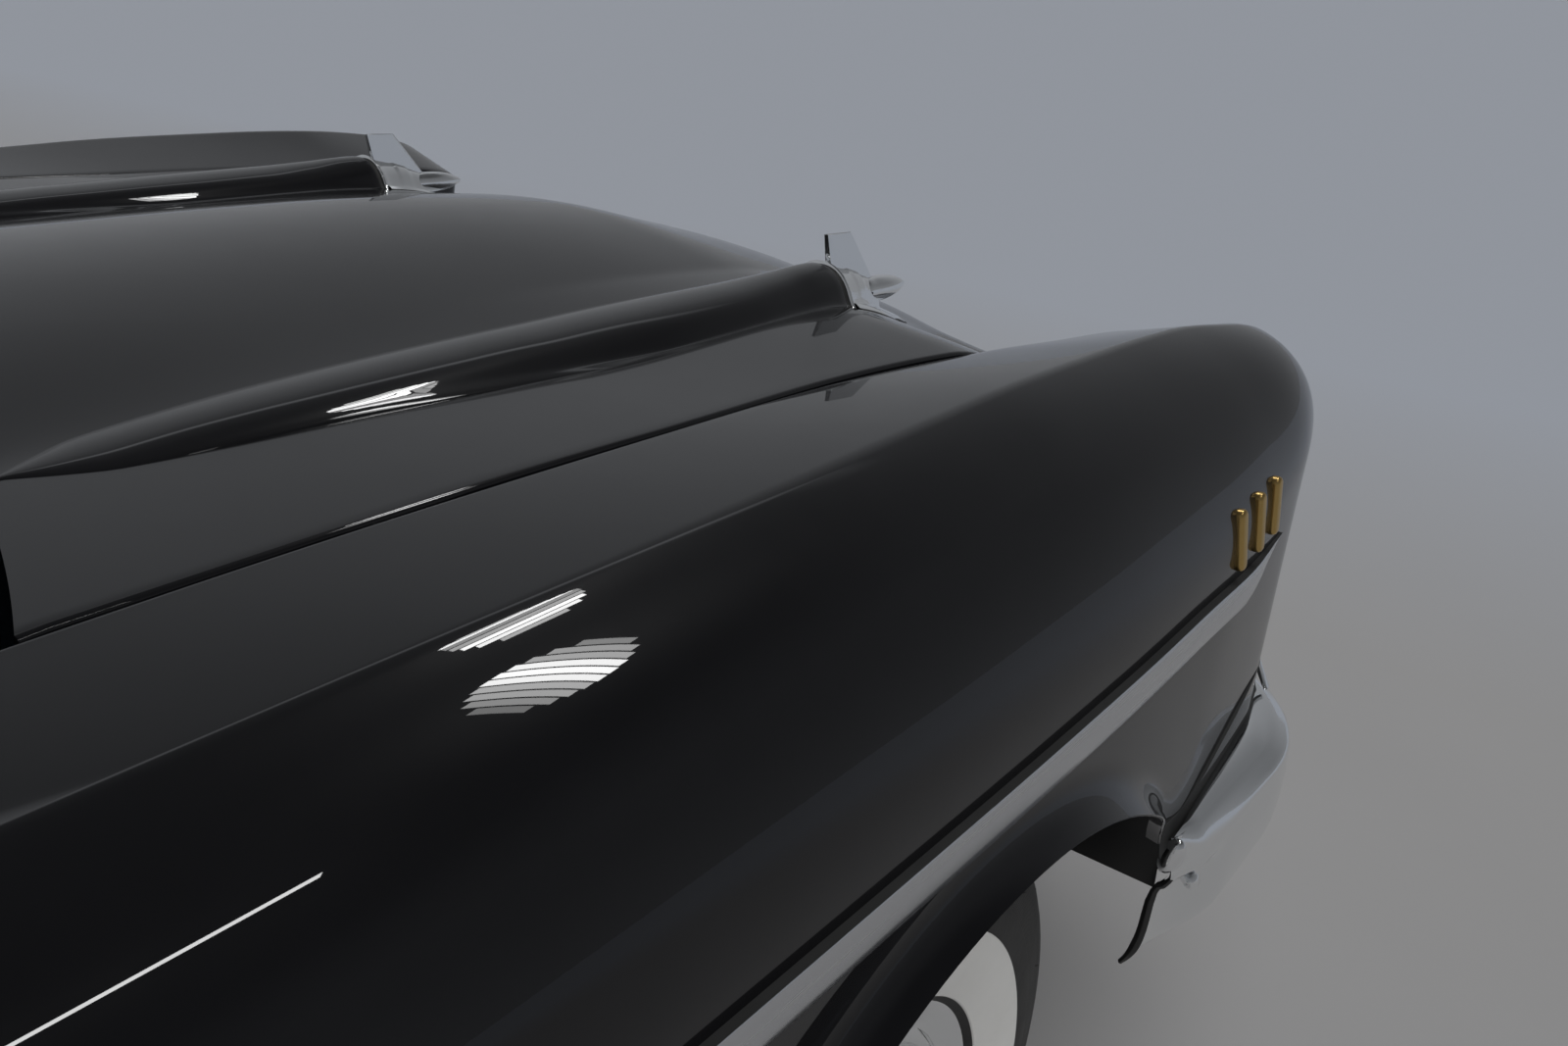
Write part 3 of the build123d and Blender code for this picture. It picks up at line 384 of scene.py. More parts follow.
def spear_rows():
    """Rows of places over the left hood spear, from its tail to the ornament."""
    rows = []
    for y in spread(SPEAR_TAIL_Y, -478.0, 90):
        rows.append(arch_row(y, *columns_at(SPEAR_SECTIONS, y)))
    half, high = SPEAR_SECTIONS[-1][1:3]
    for y, shrink in SPEAR_END:
        rows.append(arch_row(y, half - shrink, high - shrink))
    return rows


# distance in and distance out of the places that round the lip's edge
LIP_TURNS = ((0.8, 1.2), (2.8, 2.0), (6.0, 1.6))


def side_arc(y):
    """Centre x and radius of the arc that rises from the side's widest line to the ridge."""
    seam_x, seam_z, ridge_x, ridge_z, side_x, side_z, foot_x = columns_at(FENDER_SECTIONS, y)
    across, down = side_x - ridge_x, ridge_z - side_z
    radius = (across ** 2 + down ** 2) / (2 * across)
    return side_x - radius, radius


def fender_line(y, inset, foot, flange, sizes):
    """(x, z) places down one fender section: flange, top, ridge and side."""
    seam_x, seam_z, ridge_x, ridge_z, side_x, side_z, foot_x = columns_at(FENDER_SECTIONS, y)
    centre_x, radius = side_arc(y)
    near = radius - inset

    def on_arc(angle):
        """Place on the arc at an angle above the side's widest line."""
        return centre_x + near * cos(angle), side_z + near * sin(angle)

    top = atan2(ridge_z - side_z, ridge_x - centre_x)
    ridge = on_arc(top)
    seam = (seam_x + inset, seam_z - inset)
    roll = sizes.edge_roll * 0.5
    places = [(seam[0], seam[1] - flange + (flange - roll) * t) for t in spread(0.0, 0.999, 8)]
    for turn in spread(0.0, 80.0, 5):
        places.append((seam[0] + roll * (1 - cos(radians(turn))),
                       seam[1] - roll * (1 - sin(radians(turn)))))
    length = sqrt((ridge[0] - seam[0]) ** 2 + (ridge[1] - seam[1]) ** 2)
    along = ((ridge[0] - seam[0]) / length, (ridge[1] - seam[1]) / length)
    blend = min(sizes.ridge_blend, length * 0.3)
    start = (ridge[0] - along[0] * blend, ridge[1] - along[1] * blend)
    begin = (seam[0] + roll * 1.6, seam[1] + along[1] * roll * 1.6)
    places += [tuple(a + (b - a) * t for a, b in zip(begin, start)) for t in spread(0.0, 0.93, 13)]
    turn = top - blend / radius
    end = on_arc(turn)
    for t in spread(0.0, 1.0, 11):
        places.append(tuple((1 - t) ** 2 * a + 2 * t * (1 - t) * b + t * t * c
                            for a, b, c in zip(start, ridge, end)))
    places += [on_arc(angle) for angle in spread(turn, 0.0, 25)[1:]]
    for share in spread(0.0, 1.0, 37)[1:]:
        z = side_z + (foot - side_z) * (1 - (1 - share) ** 1.7)
        fall = (side_x - foot_x) * ((side_z - z) / (side_z - REAR_FOOT)) ** 2
        places.append((side_x - inset - fall, z))
    return places


def flared(x, y, z):
    """x of a place on the fender, drawn out towards the lip of the wheel opening."""
    reach = sqrt(((y - ARCH_Y) / ARCH_LENGTH) ** 2 + ((z - ARCH_Z) / ARCH_HEIGHT) ** 2)
    far = (reach - 1) * sqrt((y - ARCH_Y) ** 2 + (z - ARCH_Z) ** 2) / max(reach, 0.01)
    if far >= FLARE_REACH or x <= SIDE_CREASE_X:
        return x
    swell = 1.0 if y > ARCH_Y else 0.15 + 0.85 * ease(510.0, 640.0, z)
    return x + swell * (LIP_X - x) * (1 - max(far, 0.0) / FLARE_REACH) ** 3


def fender_row(y, inset, foot, flange, sizes):
    """Places across one fender section, with its turned lip and its leaning nose."""
    places = [(flared(x, y, z), y, z) for x, z in fender_line(y, inset, foot, flange, sizes)]
    x, y, z = places[-1]
    out_y, out_z = 0.0, -1.0
    if foot > ARCH_Z and ARCH_FRONT_Y < y < ARCH_REAR_Y:
        out_y, out_z = (ARCH_Y - y) / ARCH_LENGTH, (ARCH_Z - z) / ARCH_HEIGHT
    for back, turn in LIP_TURNS + ((sizes.lip_depth, 0.0),):
        places.append((x - back, y + out_y * turn, z + out_z * turn))
    lean = 1.0 - ease(NOSE_TOP_Y + NOSE_ROUND, NOSE_JOIN_Y, y)
    return [(x, y + lean * NOSE_LEAN * (NOSE_TOP_Z - z), z) for x, y, z in places]


def fender_stations():
    """(y, inset, foot, flange depth) of each fender row, from the door gap to the nose."""
    stations = [(y, 0.0, REAR_FOOT, 58.0) for y in [789.0] + spread(770.0, 372.0, 16) + [366.5]]
    for turn in spread(0.02, ARCH_END, 56):
        lip = ARCH_Z + ARCH_HEIGHT * sin(turn)
        stations.append((ARCH_Y + ARCH_LENGTH * cos(turn), 0.0, max(lip, FRONT_FOOT), 34.0))
    stations += [(y, 0.0, FRONT_FOOT, 17.0) for y in spread(-408.0, -468.0, 5)]
    stations += [(y, 0.0, FRONT_FOOT, 0.0) for y in spread(-470.5, NOSE_TOP_Y + NOSE_ROUND, 34)]
    for turn in spread(12.0, 90.0, 8):
        angle = radians(turn)
        stations.append((NOSE_TOP_Y + NOSE_ROUND * (1 - sin(angle)), NOSE_ROUND * (1 - cos(angle)),
                         FRONT_FOOT, 0.0))
    return stations


# share of the way from the nose's edge to the lamp's hole, distance back
FACE_RINGS = ((0.0, 0.0), (0.25, 0.0), (0.5, 0.0), (0.75, 0.0), (0.9, 0.0), (1.0, 0.0), (1.0, 16.0))


def fender_mesh(sizes):
    """Left fender as one sheet with its nose closed down to the lamp."""
    rows = []
    for y, inset, foot, flange in fender_stations():
        depth = flange or line(FENDER_SECTIONS, 2, y) - inset - FRONT_FOOT
        rows.append(fender_row(y, inset, foot, depth, sizes))
    loop = rows[-1][:-len(LIP_TURNS) - 1]
    low, far = loop[0], loop[-1]
    loop += [(far[0] + (low[0] - far[0]) * t, far[1], far[2]) for t in spread(0.0, 1.0, 10)[1:]]
    face = []
    for share, sink in FACE_RINGS:
        row = []
        for x, y, z in loop:
            turn = atan2(z - LAMP_Z, x - LAMP_X)
            hole_x, hole_z = LAMP_X + sizes.lamp_hole * cos(turn), LAMP_Z + sizes.lamp_hole * sin(turn)
            x, z = x + (hole_x - x) * share, z + (hole_z - z) * share
            row.append((x, NOSE_TOP_Y + NOSE_LEAN * (NOSE_TOP_Z - z) + sink, z))
        face.append(row)
    whole = joined([grid_mesh(car_rows(rows)), grid_mesh(car_rows(face))])
    bmesh.ops.remove_doubles(whole, verts=whole.verts, dist=1e-5)
    return whole


def cowl_rows():
    """Rows of places over the cowl panel, from the windscreen to the hood gap."""
    rows = []
    for share in spread(0.0, 1.0, 22):
        row = []
        for x in spread(-COWL_HALF, COWL_HALF, 97):
            front = COWL_FRONT_Y + COWL_RADIUS - sqrt(COWL_RADIUS ** 2 - x * x)
            row.append((x, COWL_REAR_Y + (front - COWL_REAR_Y) * share, COWL_Z + COWL_RISE * crown(x)))
        rows.append(row)
    rows.append([(x, y - 0.3, z - 1.5) for x, y, z in rows[-1]])
    rows.append([(x, y + 0.3, z - 7.0) for x, y, z in rows[-1]])
    return car_rows(rows)


# Finishes

DUST_GREY = 0.16
WHITE_INNER = 190.8
WHITE_OUTER = 254.5


class Number:
    """A shader socket that adds its Math nodes where it is used in a sum."""

    def __init__(self, nodes, socket):
        self.nodes = nodes
        self.socket = socket

    def __add__(self, other):
        return self.nodes.maths("ADD", self, other)

    __radd__ = __add__

    def __mul__(self, other):
        return self.nodes.maths("MULTIPLY", self, other)

    __rmul__ = __mul__

    def __sub__(self, other):
        return self.nodes.maths("SUBTRACT", self, other)

    def __rsub__(self, other):
        return self.nodes.maths("SUBTRACT", other, self)

    def __gt__(self, other):
        return self.nodes.maths("GREATER_THAN", self, other)

    def __lt__(self, other):
        return self.nodes.maths("LESS_THAN", self, other)


class Nodes:
    """The nodes of a material or of the surroundings."""

    def __init__(self, tree):
        self.tree = tree

    def node(self, kind, settings=None, inputs=None):
        """Node of a kind, with its settings first and then its values or links."""
        made = self.tree.nodes.new(kind)
        for title, value in (settings or {}).items():
            if title == "stops":
                ramp = made.color_ramp
                while len(ramp.elements) < len(value):
                    ramp.elements.new(0.5)
                for element, (place, colour) in zip(ramp.elements, value):
                    element.position = place
                    element.color = colour
            else:
                setattr(made, title, value)
        for title, value in (inputs or {}).items():
            self.feed(made.inputs[title], value)
        return made

    def feed(self, socket, value):
        """Give a socket a value or a link."""
        if isinstance(value, Number):
            self.tree.links.new(value.socket, socket)
        elif isinstance(value, bpy.types.NodeSocket):
            self.tree.links.new(value, socket)
        else:
            socket.default_value = value

    def maths(self, operation, *values):
        """Result of one Math node."""
        made = self.node("ShaderNodeMath", {"operation": operation}, dict(enumerate(values)))
        return Number(self, made.outputs[0])

    def parts(self, vector):
        """The three parts of a vector, ready for sums."""
        split = self.node("ShaderNodeSeparateXYZ", None, {0: vector})
        return [Number(self, socket) for socket in split.outputs]


class Finish(Nodes):
    """A material under construction."""

    def __init__(self, name, **sockets):
        self.material = bpy.data.materials.new(name)
        self.material.use_nodes = True
        super().__init__(self.material.node_tree)
        self.shader = self.tree.nodes["Principled BSDF"]
        for title, value in sockets.items():
            self.shader.inputs[title.replace("_", " ")].default_value = value

    def set(self, title, value):
        """Feed one of the shader's sockets."""
        self.feed(self.shader.inputs[title], value)

    def place(self):
        """Object coordinates."""
        return self.node("ShaderNodeTexCoord").outputs["Object"]

    def noise(self, scale, detail=3.0, rough=0.5, vector=None):
        """Cloudy pattern, in cycles per metre."""
        made = self.node("ShaderNodeTexNoise", None, {"Scale": scale, "Detail": detail, "Roughness": rough,
                                                      "Vector": vector or self.place()})
        return Number(self, made.outputs["Fac"])

    def blend(self, share, low, high):
        """Colour between two."""
        return self.node("ShaderNodeMix", {"data_type": "RGBA"}, {0: share, 6: low, 7: high}).outputs[2]

    def bump(self, height, strength, distance):
        """Surface relief that feeds the shader's normal."""
        made = self.node("ShaderNodeBump", None,
                         {"Height": height, "Strength": strength, "Distance": distance})
        self.set("Normal", made.outputs[0])


def scaled(colour, factors, more=0.0):
    """Opaque colour with its channels multiplied by one factor or by three."""
    factors = factors if isinstance(factors, tuple) else (factors,) * 3
    return (*[value * factor + more for value, factor in zip(colour, factors)], 1)


def gloss_paint(name, colour):
    """Deep clear-coated paint with faint waviness."""
    made = Finish(name, Coat_Weight=0.8, Coat_Roughness=0.012, Specular_IOR_Level=0.03)
    tone = made.noise(9.0, 4.0)
    made.set("Base Color", made.blend(tone, scaled(colour, 1.0), scaled(colour, 1.5, 0.001)))
    made.set("Roughness", 0.26 + 0.1 * made.noise(30.0))
    made.bump(made.noise(260.0, 2.0), 0.02, 0.0006)
    return made.material


def metal(name, colour, roughness, change=0.05, scale=60.0, stretch=None, relief=0.0, edge=1.0):
    """Metal whose roughness and tone change over the surface; edge tints its glancing reflections."""
    made = Finish(name, Metallic=1.0, Specular_Tint=scaled((edge, edge, edge), 1.0))
    vector = None
    if stretch:
        vector = made.node("ShaderNodeMapping", None, {"Vector": made.place(), "Scale": stretch}).outputs[0]
    tone = made.noise(scale, 4.0, 0.6, vector)
    made.set("Base Color", made.blend(tone, scaled(colour, 0.93), scaled(colour, 1.0)))
    made.set("Roughness", roughness + change * (tone - 0.5))
    if relief:
        made.bump(tone, relief, 0.0005)
    return made.material


def satin_paint(name, colour, roughness=0.45, dust=0.25):
    """Plain paint on chassis parts, with a little dust."""
    made = Finish(name)
    cloud = made.noise(14.0, 6.0, 0.65)
    made.set("Base Color", made.blend(cloud * cloud, scaled(colour, 1.0),
                                      scaled(colour, 1.0 - dust, DUST_GREY * dust)))
    made.set("Roughness", roughness + 0.25 * (cloud - 0.4))
    made.bump(made.noise(380.0, 3.0), 0.12, 0.0008)
    return made.material


def tyre_rubber(name, side):
    """Tyre rubber with its white sidewall band, shoulder lines and tread cuts."""
    made = Finish(name, Specular_IOR_Level=0.35)
    centre = car(side * TRACK / 2, 0, TYRE_RADIUS)
    local = made.node("ShaderNodeMapping", None, {"Vector": made.place(), "Location": tuple(-centre)})
    out, y, z = made.parts(local.outputs[0])
    radius = made.maths("POWER", y * y + z * z, 0.5)
    white = (radius > WHITE_INNER / 1000) * (radius < WHITE_OUTER / 1000) * (side * out > 0.06)
    grime = made.noise(22.0, 6.0, 0.62)
    speck = made.noise(140.0, 3.0)
    chalk = made.blend(grime * 0.55, (0.76, 0.755, 0.735, 1), (0.6, 0.59, 0.56, 1))
    black = made.blend(speck, (0.016, 0.016, 0.017, 1), (0.034, 0.033, 0.032, 1))
    made.set("Base Color", made.blend(white, black, chalk))
    made.set("Roughness", 0.5 + 0.2 * grime)
    teeth = made.maths("SINE", made.maths("ARCTAN2", y, z) * 150.0 + out * 160.0)
    tread = (radius > 0.327) * (teeth > 0.72)
    lines = (radius > 0.283) * (radius < 0.318) * made.maths("SINE", radius * 2600.0)
    made.bump(speck * 0.15 - tread * 3.0 + lines * 0.22, 0.7, 0.001)
    return made.material


def lens_glass(name):
    """Clear lamp glass with upright flutes."""
    made = Finish(name, Roughness=0.04, Transmission_Weight=1.0, IOR=1.47)
    x, y, z = made.parts(made.place())
    made.bump(made.maths("SINE", x * 720.0), 0.5, 0.0012)
    made.set("Base Color", made.blend(made.noise(20.0), (0.93, 0.95, 0.96, 1), (0.98, 0.99, 1.0, 1)))
    return made.material


def radiator_core(name):
    """Matt black core with fine fins and upright tubes."""
    made = Finish(name)
    x, y, z = made.parts(made.place())
    fins, tubes = made.maths("SINE", z * 2100.0), made.maths("SINE", x * 560.0)
    made.set("Base Color", made.blend(fins * 0.5 + 0.5, (0.008, 0.008, 0.008, 1), (0.045, 0.044, 0.042, 1)))
    made.set("Roughness", 0.6 + 0.1 * made.noise(50.0))
    made.bump(fins * 0.6 + (tubes > 0.6) * 1.2, 0.8, 0.0015)
    return made.material


def finish(name):
    """The named finish, made once."""
    if name in bpy.data.materials:
        return bpy.data.materials[name]
    looks = bpy.context.scene.front_end_looks
    makers = {
        "gloss_black": lambda: gloss_paint(name, looks.paint),
        "chrome": lambda: metal(name, looks.chrome, 0.055, 0.03, 40.0, edge=0.5),
        "satin_bright": lambda: metal(name, (0.66, 0.67, 0.69), 0.27, 0.05, 30.0, (1, 0.05, 6)),
        "gold_satin": lambda: metal(name, looks.gold, 0.3, 0.1, 90.0, (1, 1, 0.1), 0.12),
        "grille_silver": lambda: metal(name, (0.62, 0.63, 0.65), 0.3, 0.1, 80.0),
        # Also given to the bumper's chrome end caps as a painted highlight.
        "reflector": lambda: metal(name, (0.86, 0.87, 0.88), 0.12, 0.04, 50.0),
        "cast_iron": lambda: metal(name, (0.23, 0.215, 0.2), 0.58, 0.2, 45.0, None, 0.5),
        "spring_steel": lambda: satin_paint(name, (0.02, 0.02, 0.021), 0.38),
        # Also paints the shade on the back of the bumper's lower blade.
        "chassis_black": lambda: satin_paint(name, (0.016, 0.016, 0.017)),
        "engine_paint": lambda: satin_paint(name, (0.05, 0.085, 0.16), 0.42, 0.3),
        # Black rubber, also used as painted shade: the dark ledge on the side mouldings and the dark gap at
        # the bumper's ends.
        "black_rubber": lambda: satin_paint(name, (0.012, 0.012, 0.012), 0.65, 0.15),
        "wheel_paint": lambda: gloss_paint(name, (0.01, 0.01, 0.011)),
        "core_black": lambda: radiator_core(name),
        "lamp_glass": lambda: lens_glass(name),
        "tyre_left": lambda: tyre_rubber(name, 1),
        "tyre_right": lambda: tyre_rubber(name, -1),
    }
    return makers[name]()


# Settings

class FrontEndSizes(bpy.types.PropertyGroup):
    """Sizes of the front end's details, in millimetres."""

    edge_roll: FloatProperty(name="Edge roll", description="Radius of the hood's rolled edges", default=4.5)
    ridge_blend: FloatProperty(name="Ridge blend", description="Reach of the fender ridge", default=7.0)
    lip_depth: FloatProperty(name="Lip depth", description="Turned-in depth of the wheel lip", default=15.0)
    panel_wall: FloatProperty(name="Panel wall", description="Thickness of the pressed panels", default=3.2)
    lamp_hole: FloatProperty(name="Lamp hole", description="Radius of the lamp's hole", default=80.0)
    hair_count: IntProperty(name="Vent hairs", description="Moulding hairs round each tyre's shoulder",
                            default=26)


class FrontEndLooks(bpy.types.PropertyGroup):
    """Colours of the front end."""

    paint: FloatVectorProperty(name="Paint", description="Body colour", subtype="COLOR", size=3,
                               default=(0.0035, 0.0035, 0.0042))
    chrome: FloatVectorProperty(name="Chrome", description="Colour of the plated parts", subtype="COLOR",
                                size=3, default=(0.45, 0.47, 0.52))
    gold: FloatVectorProperty(name="Gold", description="Colour of the fender marks", subtype="COLOR", size=3,
                              default=(0.56, 0.38, 0.14))
    sun: FloatProperty(name="Sun", description="Strength of the soft light", default=1.75)
    floor: FloatVectorProperty(name="Floor", description="Colour of the studio floor", subtype="COLOR",
                               size=3, default=(0.42, 0.415, 0.415))


# Pieces

class FRONTEND_OT_fenders(bpy.types.Operator):
    """Make both fenders"""

    bl_idname = "frontend.fenders"
    bl_label = "Fenders"

    def execute(self, context):
        """Build the two pressed shells with their flared wheel openings."""
        sizes = context.scene.front_end_sizes
        for side, word in SIDES:
            piece("fender_skin_" + word, on_side(side, fender_mesh(sizes)), "frame", "gloss_black",
                  ("fender_" + word,), 40.0, sizes.panel_wall)
        return {"FINISHED"}


class FRONTEND_OT_hood(bpy.types.Operator):
    """Make the hood with its two spears"""

    bl_idname = "frontend.hood"
    bl_label = "Hood"

    def execute(self, context):
        """Build the hood skin and the spears that run back over it."""
        sizes = context.scene.front_end_sizes
        piece("hood_skin", grid_mesh(hood_rows(sizes)), "hood", "gloss_black",
              ("hood_panel",), 40.0, sizes.panel_wall)
        for side, word in SIDES:
            piece("hood_spear_" + word, on_side(side, grid_mesh(spear_rows())), "hood", "gloss_black",
                  ("hood_panel",), 55.0)
        return {"FINISHED"}


class FRONTEND_OT_cowl(bpy.types.Operator):
    """Make the cowl panel"""

    bl_idname = "frontend.cowl"
    bl_label = "Cowl"

    def execute(self, context):
        """Build the panel between the hood and the windscreen."""
        piece("cowl_skin", grid_mesh(cowl_rows()), "frame", "gloss_black", ("cowl_panel",),
              40.0, context.scene.front_end_sizes.panel_wall)
        return {"FINISHED"}


ORNAMENT_REAR_Y = -492.0
# y, half width, height over the hood
COLLAR = (
    (-486.4, 49.0, 35.0), (-486.6, 52.0, 38.4), (-487.6, 54.2, 40.2), (-489.4, 55.0, 40.8),
    (-491.4, 54.4, 40.2), (-492.8, 52.4, 38.4), (-493.0, 49.0, 35.0),
)
SEAL = ((-480.0, 47.0, 33.0), (-482.2, 49.5, 36.2), (-484.0, 50.4, 37.0), (-487.0, 50.4, 37.0))
PROW_END = ((-587.4, 13.6, 31.0), (-588.2, 11.8, 28.0), (-588.4, 0.4, 4.0))
# distance towards the front, radius
BULLET = (
    (-20.0, 0.0), (-20.0, 13.4), (0.0, 14.4), (20.0, 14.3), (34.0, 13.0), (48.0, 10.4),
    (60.0, 6.6), (68.0, 3.0), (71.5, 0.0),
)
# share of the fin's height, share closed, rise of the rounded rim
FIN_LEVELS = (
    (0.0, 0.0, 0.0), (0.2, 0.0, 0.0), (0.4, 0.0, 0.0), (0.6, 0.0, 0.0), (0.8, 0.0, 0.0),
    (0.97, 0.0, 0.0), (1.0, 0.0, 0.0), (1.0, 0.5, 0.5), (1.0, 1.0, 0.0),
)
# share of the way forward, share of the half width, distance back
FIN_SIDE = (
    (0.0, 0.8, 0.0), (0.0, 1.0, 0.4), (0.03, 1.0, 0.0), (0.2, 1.0, 0.0), (0.4, 1.0, 0.0),
    (0.6, 1.0, 0.0), (0.8, 1.0, 0.0), (0.94, 1.0, 0.0), (0.985, 0.75, 0.0), (1.0, 0.0, 0.0),
)


def foot_plate(half, tip_y, low, high):
    """Pointed plate that lies on the hood under the ornament."""
    rows = []
    for share in spread(0.0, 1.0, 30):
        y = ORNAMENT_REAR_Y + (tip_y - ORNAMENT_REAR_Y) * share
        wide = half * (1 - ease(0.25, 1.0, share) ** 1.15) + 0.4
        row = []
        for t in spread(-1.0, 1.0, 19):
            x = SPEAR_X + wide * t
            rim = min(1.0, (1 - abs(t)) * wide / 2.5)
            row.append(car(x, y, hood_height(x, y) + low + (high - low) * sqrt(rim)))
        rows.append(row)
    return grid_mesh(rows)


def ornament_body():
    """Hollow-looking body that narrows from the collar to a prow under the bullet."""
    rows = [arch_row(-489.0, 48.0, 34.0), arch_row(ORNAMENT_REAR_Y, 50.0, 36.2)]
    for share in spread(0.0, 1.0, 24):
        high = 36.0 - 3.0 * share + 1.6 * (ease(0.34, 0.37, share) - ease(0.62, 0.65, share))
        rows.append(arch_row(-494.0 - 92.0 * share, 50.0 - 35.5 * share ** 0.82, high, 1.0 - 0.75 * share))
    return grid_mesh(rows + [arch_row(*values, 0.25) for values in PROW_END])


def ornament_fin():
    """Swept fin, thick along its rear edge and thin in front."""
    rows = []
    for share, shut, rise in FIN_LEVELS:
        rear_y, front_y = -502.0 + 10.0 * share - 1.6 * rise, -594.0 + 56.0 * share + 2.0 * rise
        rear_z, front_z = 962.0 + 46.0 * share + rise, 936.0 + 68.5 * share + rise
        side = []
        for along, wide, back in FIN_SIDE:
            half = (4.3 - 1.9 * share) * (1 - 0.72 * along ** 1.2) * (1 - shut) * wide
            side.append((half, rear_y + (front_y - rear_y) * along - back,
                         rear_z + (front_z - rear_z) * along))
        loop = side + [(-half, y, z) for half, y, z in side[-2::-1]] + side[:1]
        rows.append([car(SPEAR_X + half, y, z) for half, y, z in loop])
    return closed(grid_mesh(rows))


class FRONTEND_OT_ornaments(bpy.types.Operator):
    """Make the two hood ornaments"""

    bl_idname = "frontend.ornaments"
    bl_label = "Ornaments"

    def execute(self, context):
        """Build collar, gasket, body, fin and bullet in front of each spear."""
        for side, word in SIDES:
            collar, lip = [grid_mesh([arch_row(*values) for values in rows]) for rows in (COLLAR, SEAL)]
            bullet = turned(rounded(BULLET, 4), car(SPEAR_X, -582.0, 933.5), (0, -1, -0.05), 48)
            body = [ornament_body(), collar, bullet, ornament_fin(), foot_plate(50.0, -662.0, 0.8, 4.4)]
            seal = [lip, foot_plate(53.5, -668.0, 0.0, 1.6)]
            piece("ornament_" + word, on_side(side, joined(body)), "hood", "chrome",
                  ("hood_ornaments",), 32.0)
            piece("ornament_seal_" + word, on_side(side, joined(seal)), "hood", "black_rubber")
        return {"FINISHED"}


# distance out from the fender, share of the way down
MOULDING = (
    (-3.0, 0.0), (7.4, 0.0), (8.0, 0.03), (8.3, 0.14), (8.5, 0.4), (8.2, 0.72), (7.2, 0.92),
    (5.4, 1.0), (-3.0, 1.0),
)
MOULDING_TOP = 769.0
MOULDING_HEIGHT = 37.0
MOULDING_FALL = 520.0


def moulding_mesh():
    """Left side moulding: a satin band whose flat top ledge is painted black as a dark reflection, run out
    to a point at the front.
    """
    rows = []
    for y in [788.0] + spread(770.0, -560.0, 60) + spread(-572.0, -666.0, 14):
        share = max(1.0 - ease(-520.0, -668.0, y) ** 1.3, 0.02)
        top = MOULDING_TOP - 11.0 * ease(-380.0, -668.0, y)
        side_x, side_z, foot_x = [line(FENDER_SECTIONS, column, y) for column in (5, 6, 7)]
        row = []
        for out, down in MOULDING:
            z = top - MOULDING_HEIGHT * share * down
            fall = (side_x - foot_x) * max((side_z - z) / MOULDING_FALL, 0.0) ** 2
            depth = out * (0.35 + 0.65 * share) if out > 0 else out
            row.append(car(side_x - fall + depth, y, z))
        rows.append(row)
    mesh = grid_mesh(rows)
    mesh.normal_update()
    # Faces that look up, the top ledge, take the second, black finish: a painted dark reflection.
    for face in mesh.faces:
        face.material_index = 1 if face.normal.z > 0.85 else 0
    return mesh


def mark_bar(y):
    """Rounded bar that stands on the left fender at y."""
    centre_x, radius = side_arc(y)
    tilt = (MARK_Z - line(FENDER_SECTIONS, 6, y)) / radius
    bar = bmesh.new()
    bmesh.ops.create_cube(bar, size=1.0)
    bmesh.ops.scale(bar, vec=(0.012, 0.0155, 0.061), verts=bar.verts)
    corners = [edge for edge in bar.edges if abs(edge.verts[0].co.x - edge.verts[1].co.x) > 0.005]
    bevelled(bar, corners, 7.4, 6)
    front = [edge for edge in bar.edges
             if all(vert.co.x > 0.0055 for vert in edge.verts) and len(edge.link_faces) == 2
             and abs(edge.link_faces[0].normal.dot(edge.link_faces[1].normal)) < 0.5]
    bevelled(bar, front, 4.5, 4)
    bmesh.ops.rotate(bar, cent=(0, 0, 0), matrix=Matrix.Rotation(-tilt, 3, "Y"), verts=bar.verts)
    bmesh.ops.translate(bar, vec=car(centre_x + radius * cos(tilt) - 0.2, y, MARK_Z), verts=bar.verts)
    return bar


class FRONTEND_OT_trim(bpy.types.Operator):
    """Make the side mouldings and the gold marks"""

    bl_idname = "frontend.trim"
    bl_label = "Side trim"

    def execute(self, context):
        """Build the long mouldings and three rounded bars on each fender."""
        for side, word in SIDES:
            # The second finish paints the moulding's top ledge black, a painted dark reflection.
            piece("side_moulding_" + word, on_side(side, moulding_mesh()), "frame",
                  ("satin_bright", "black_rubber"), ("side_mouldings",), 30.0)
            marks = joined([mark_bar(y) for y in MARK_YS])
            piece("gold_marks_" + word, on_side(side, marks), "frame", "gold_satin",
                  ("fender_marks",), 50.0)
        return {"FINISHED"}


# distance back along the lamp's axis, radius: outer line and inner line of glass and bowl, then the ring
GLASS_FRONT = ((-21.5, 0.0), (-20.0, 30.0), (-14.5, 56.0), (-4.0, 73.6))
GLASS_BACK = ((-1.0, 73.6), (-11.5, 55.0), (-17.0, 29.0), (-18.4, 0.0))
BOWL_FRONT = ((56.0, 0.0), (50.0, 26.0), (30.0, 52.0), (2.0, 73.2))
BOWL_BACK = ((3.0, 75.0), (34.0, 55.0), (56.0, 30.0), (62.0, 0.0))
LAMP_RING = (
    (-4.0, 73.9), (-11.0, 75.0), (-14.0, 78.5), (-13.0, 83.0), (-8.0, 87.0), (-1.0, 90.0),
    (1.0, 89.0), (1.5, 80.0), (-0.5, 74.2),
)


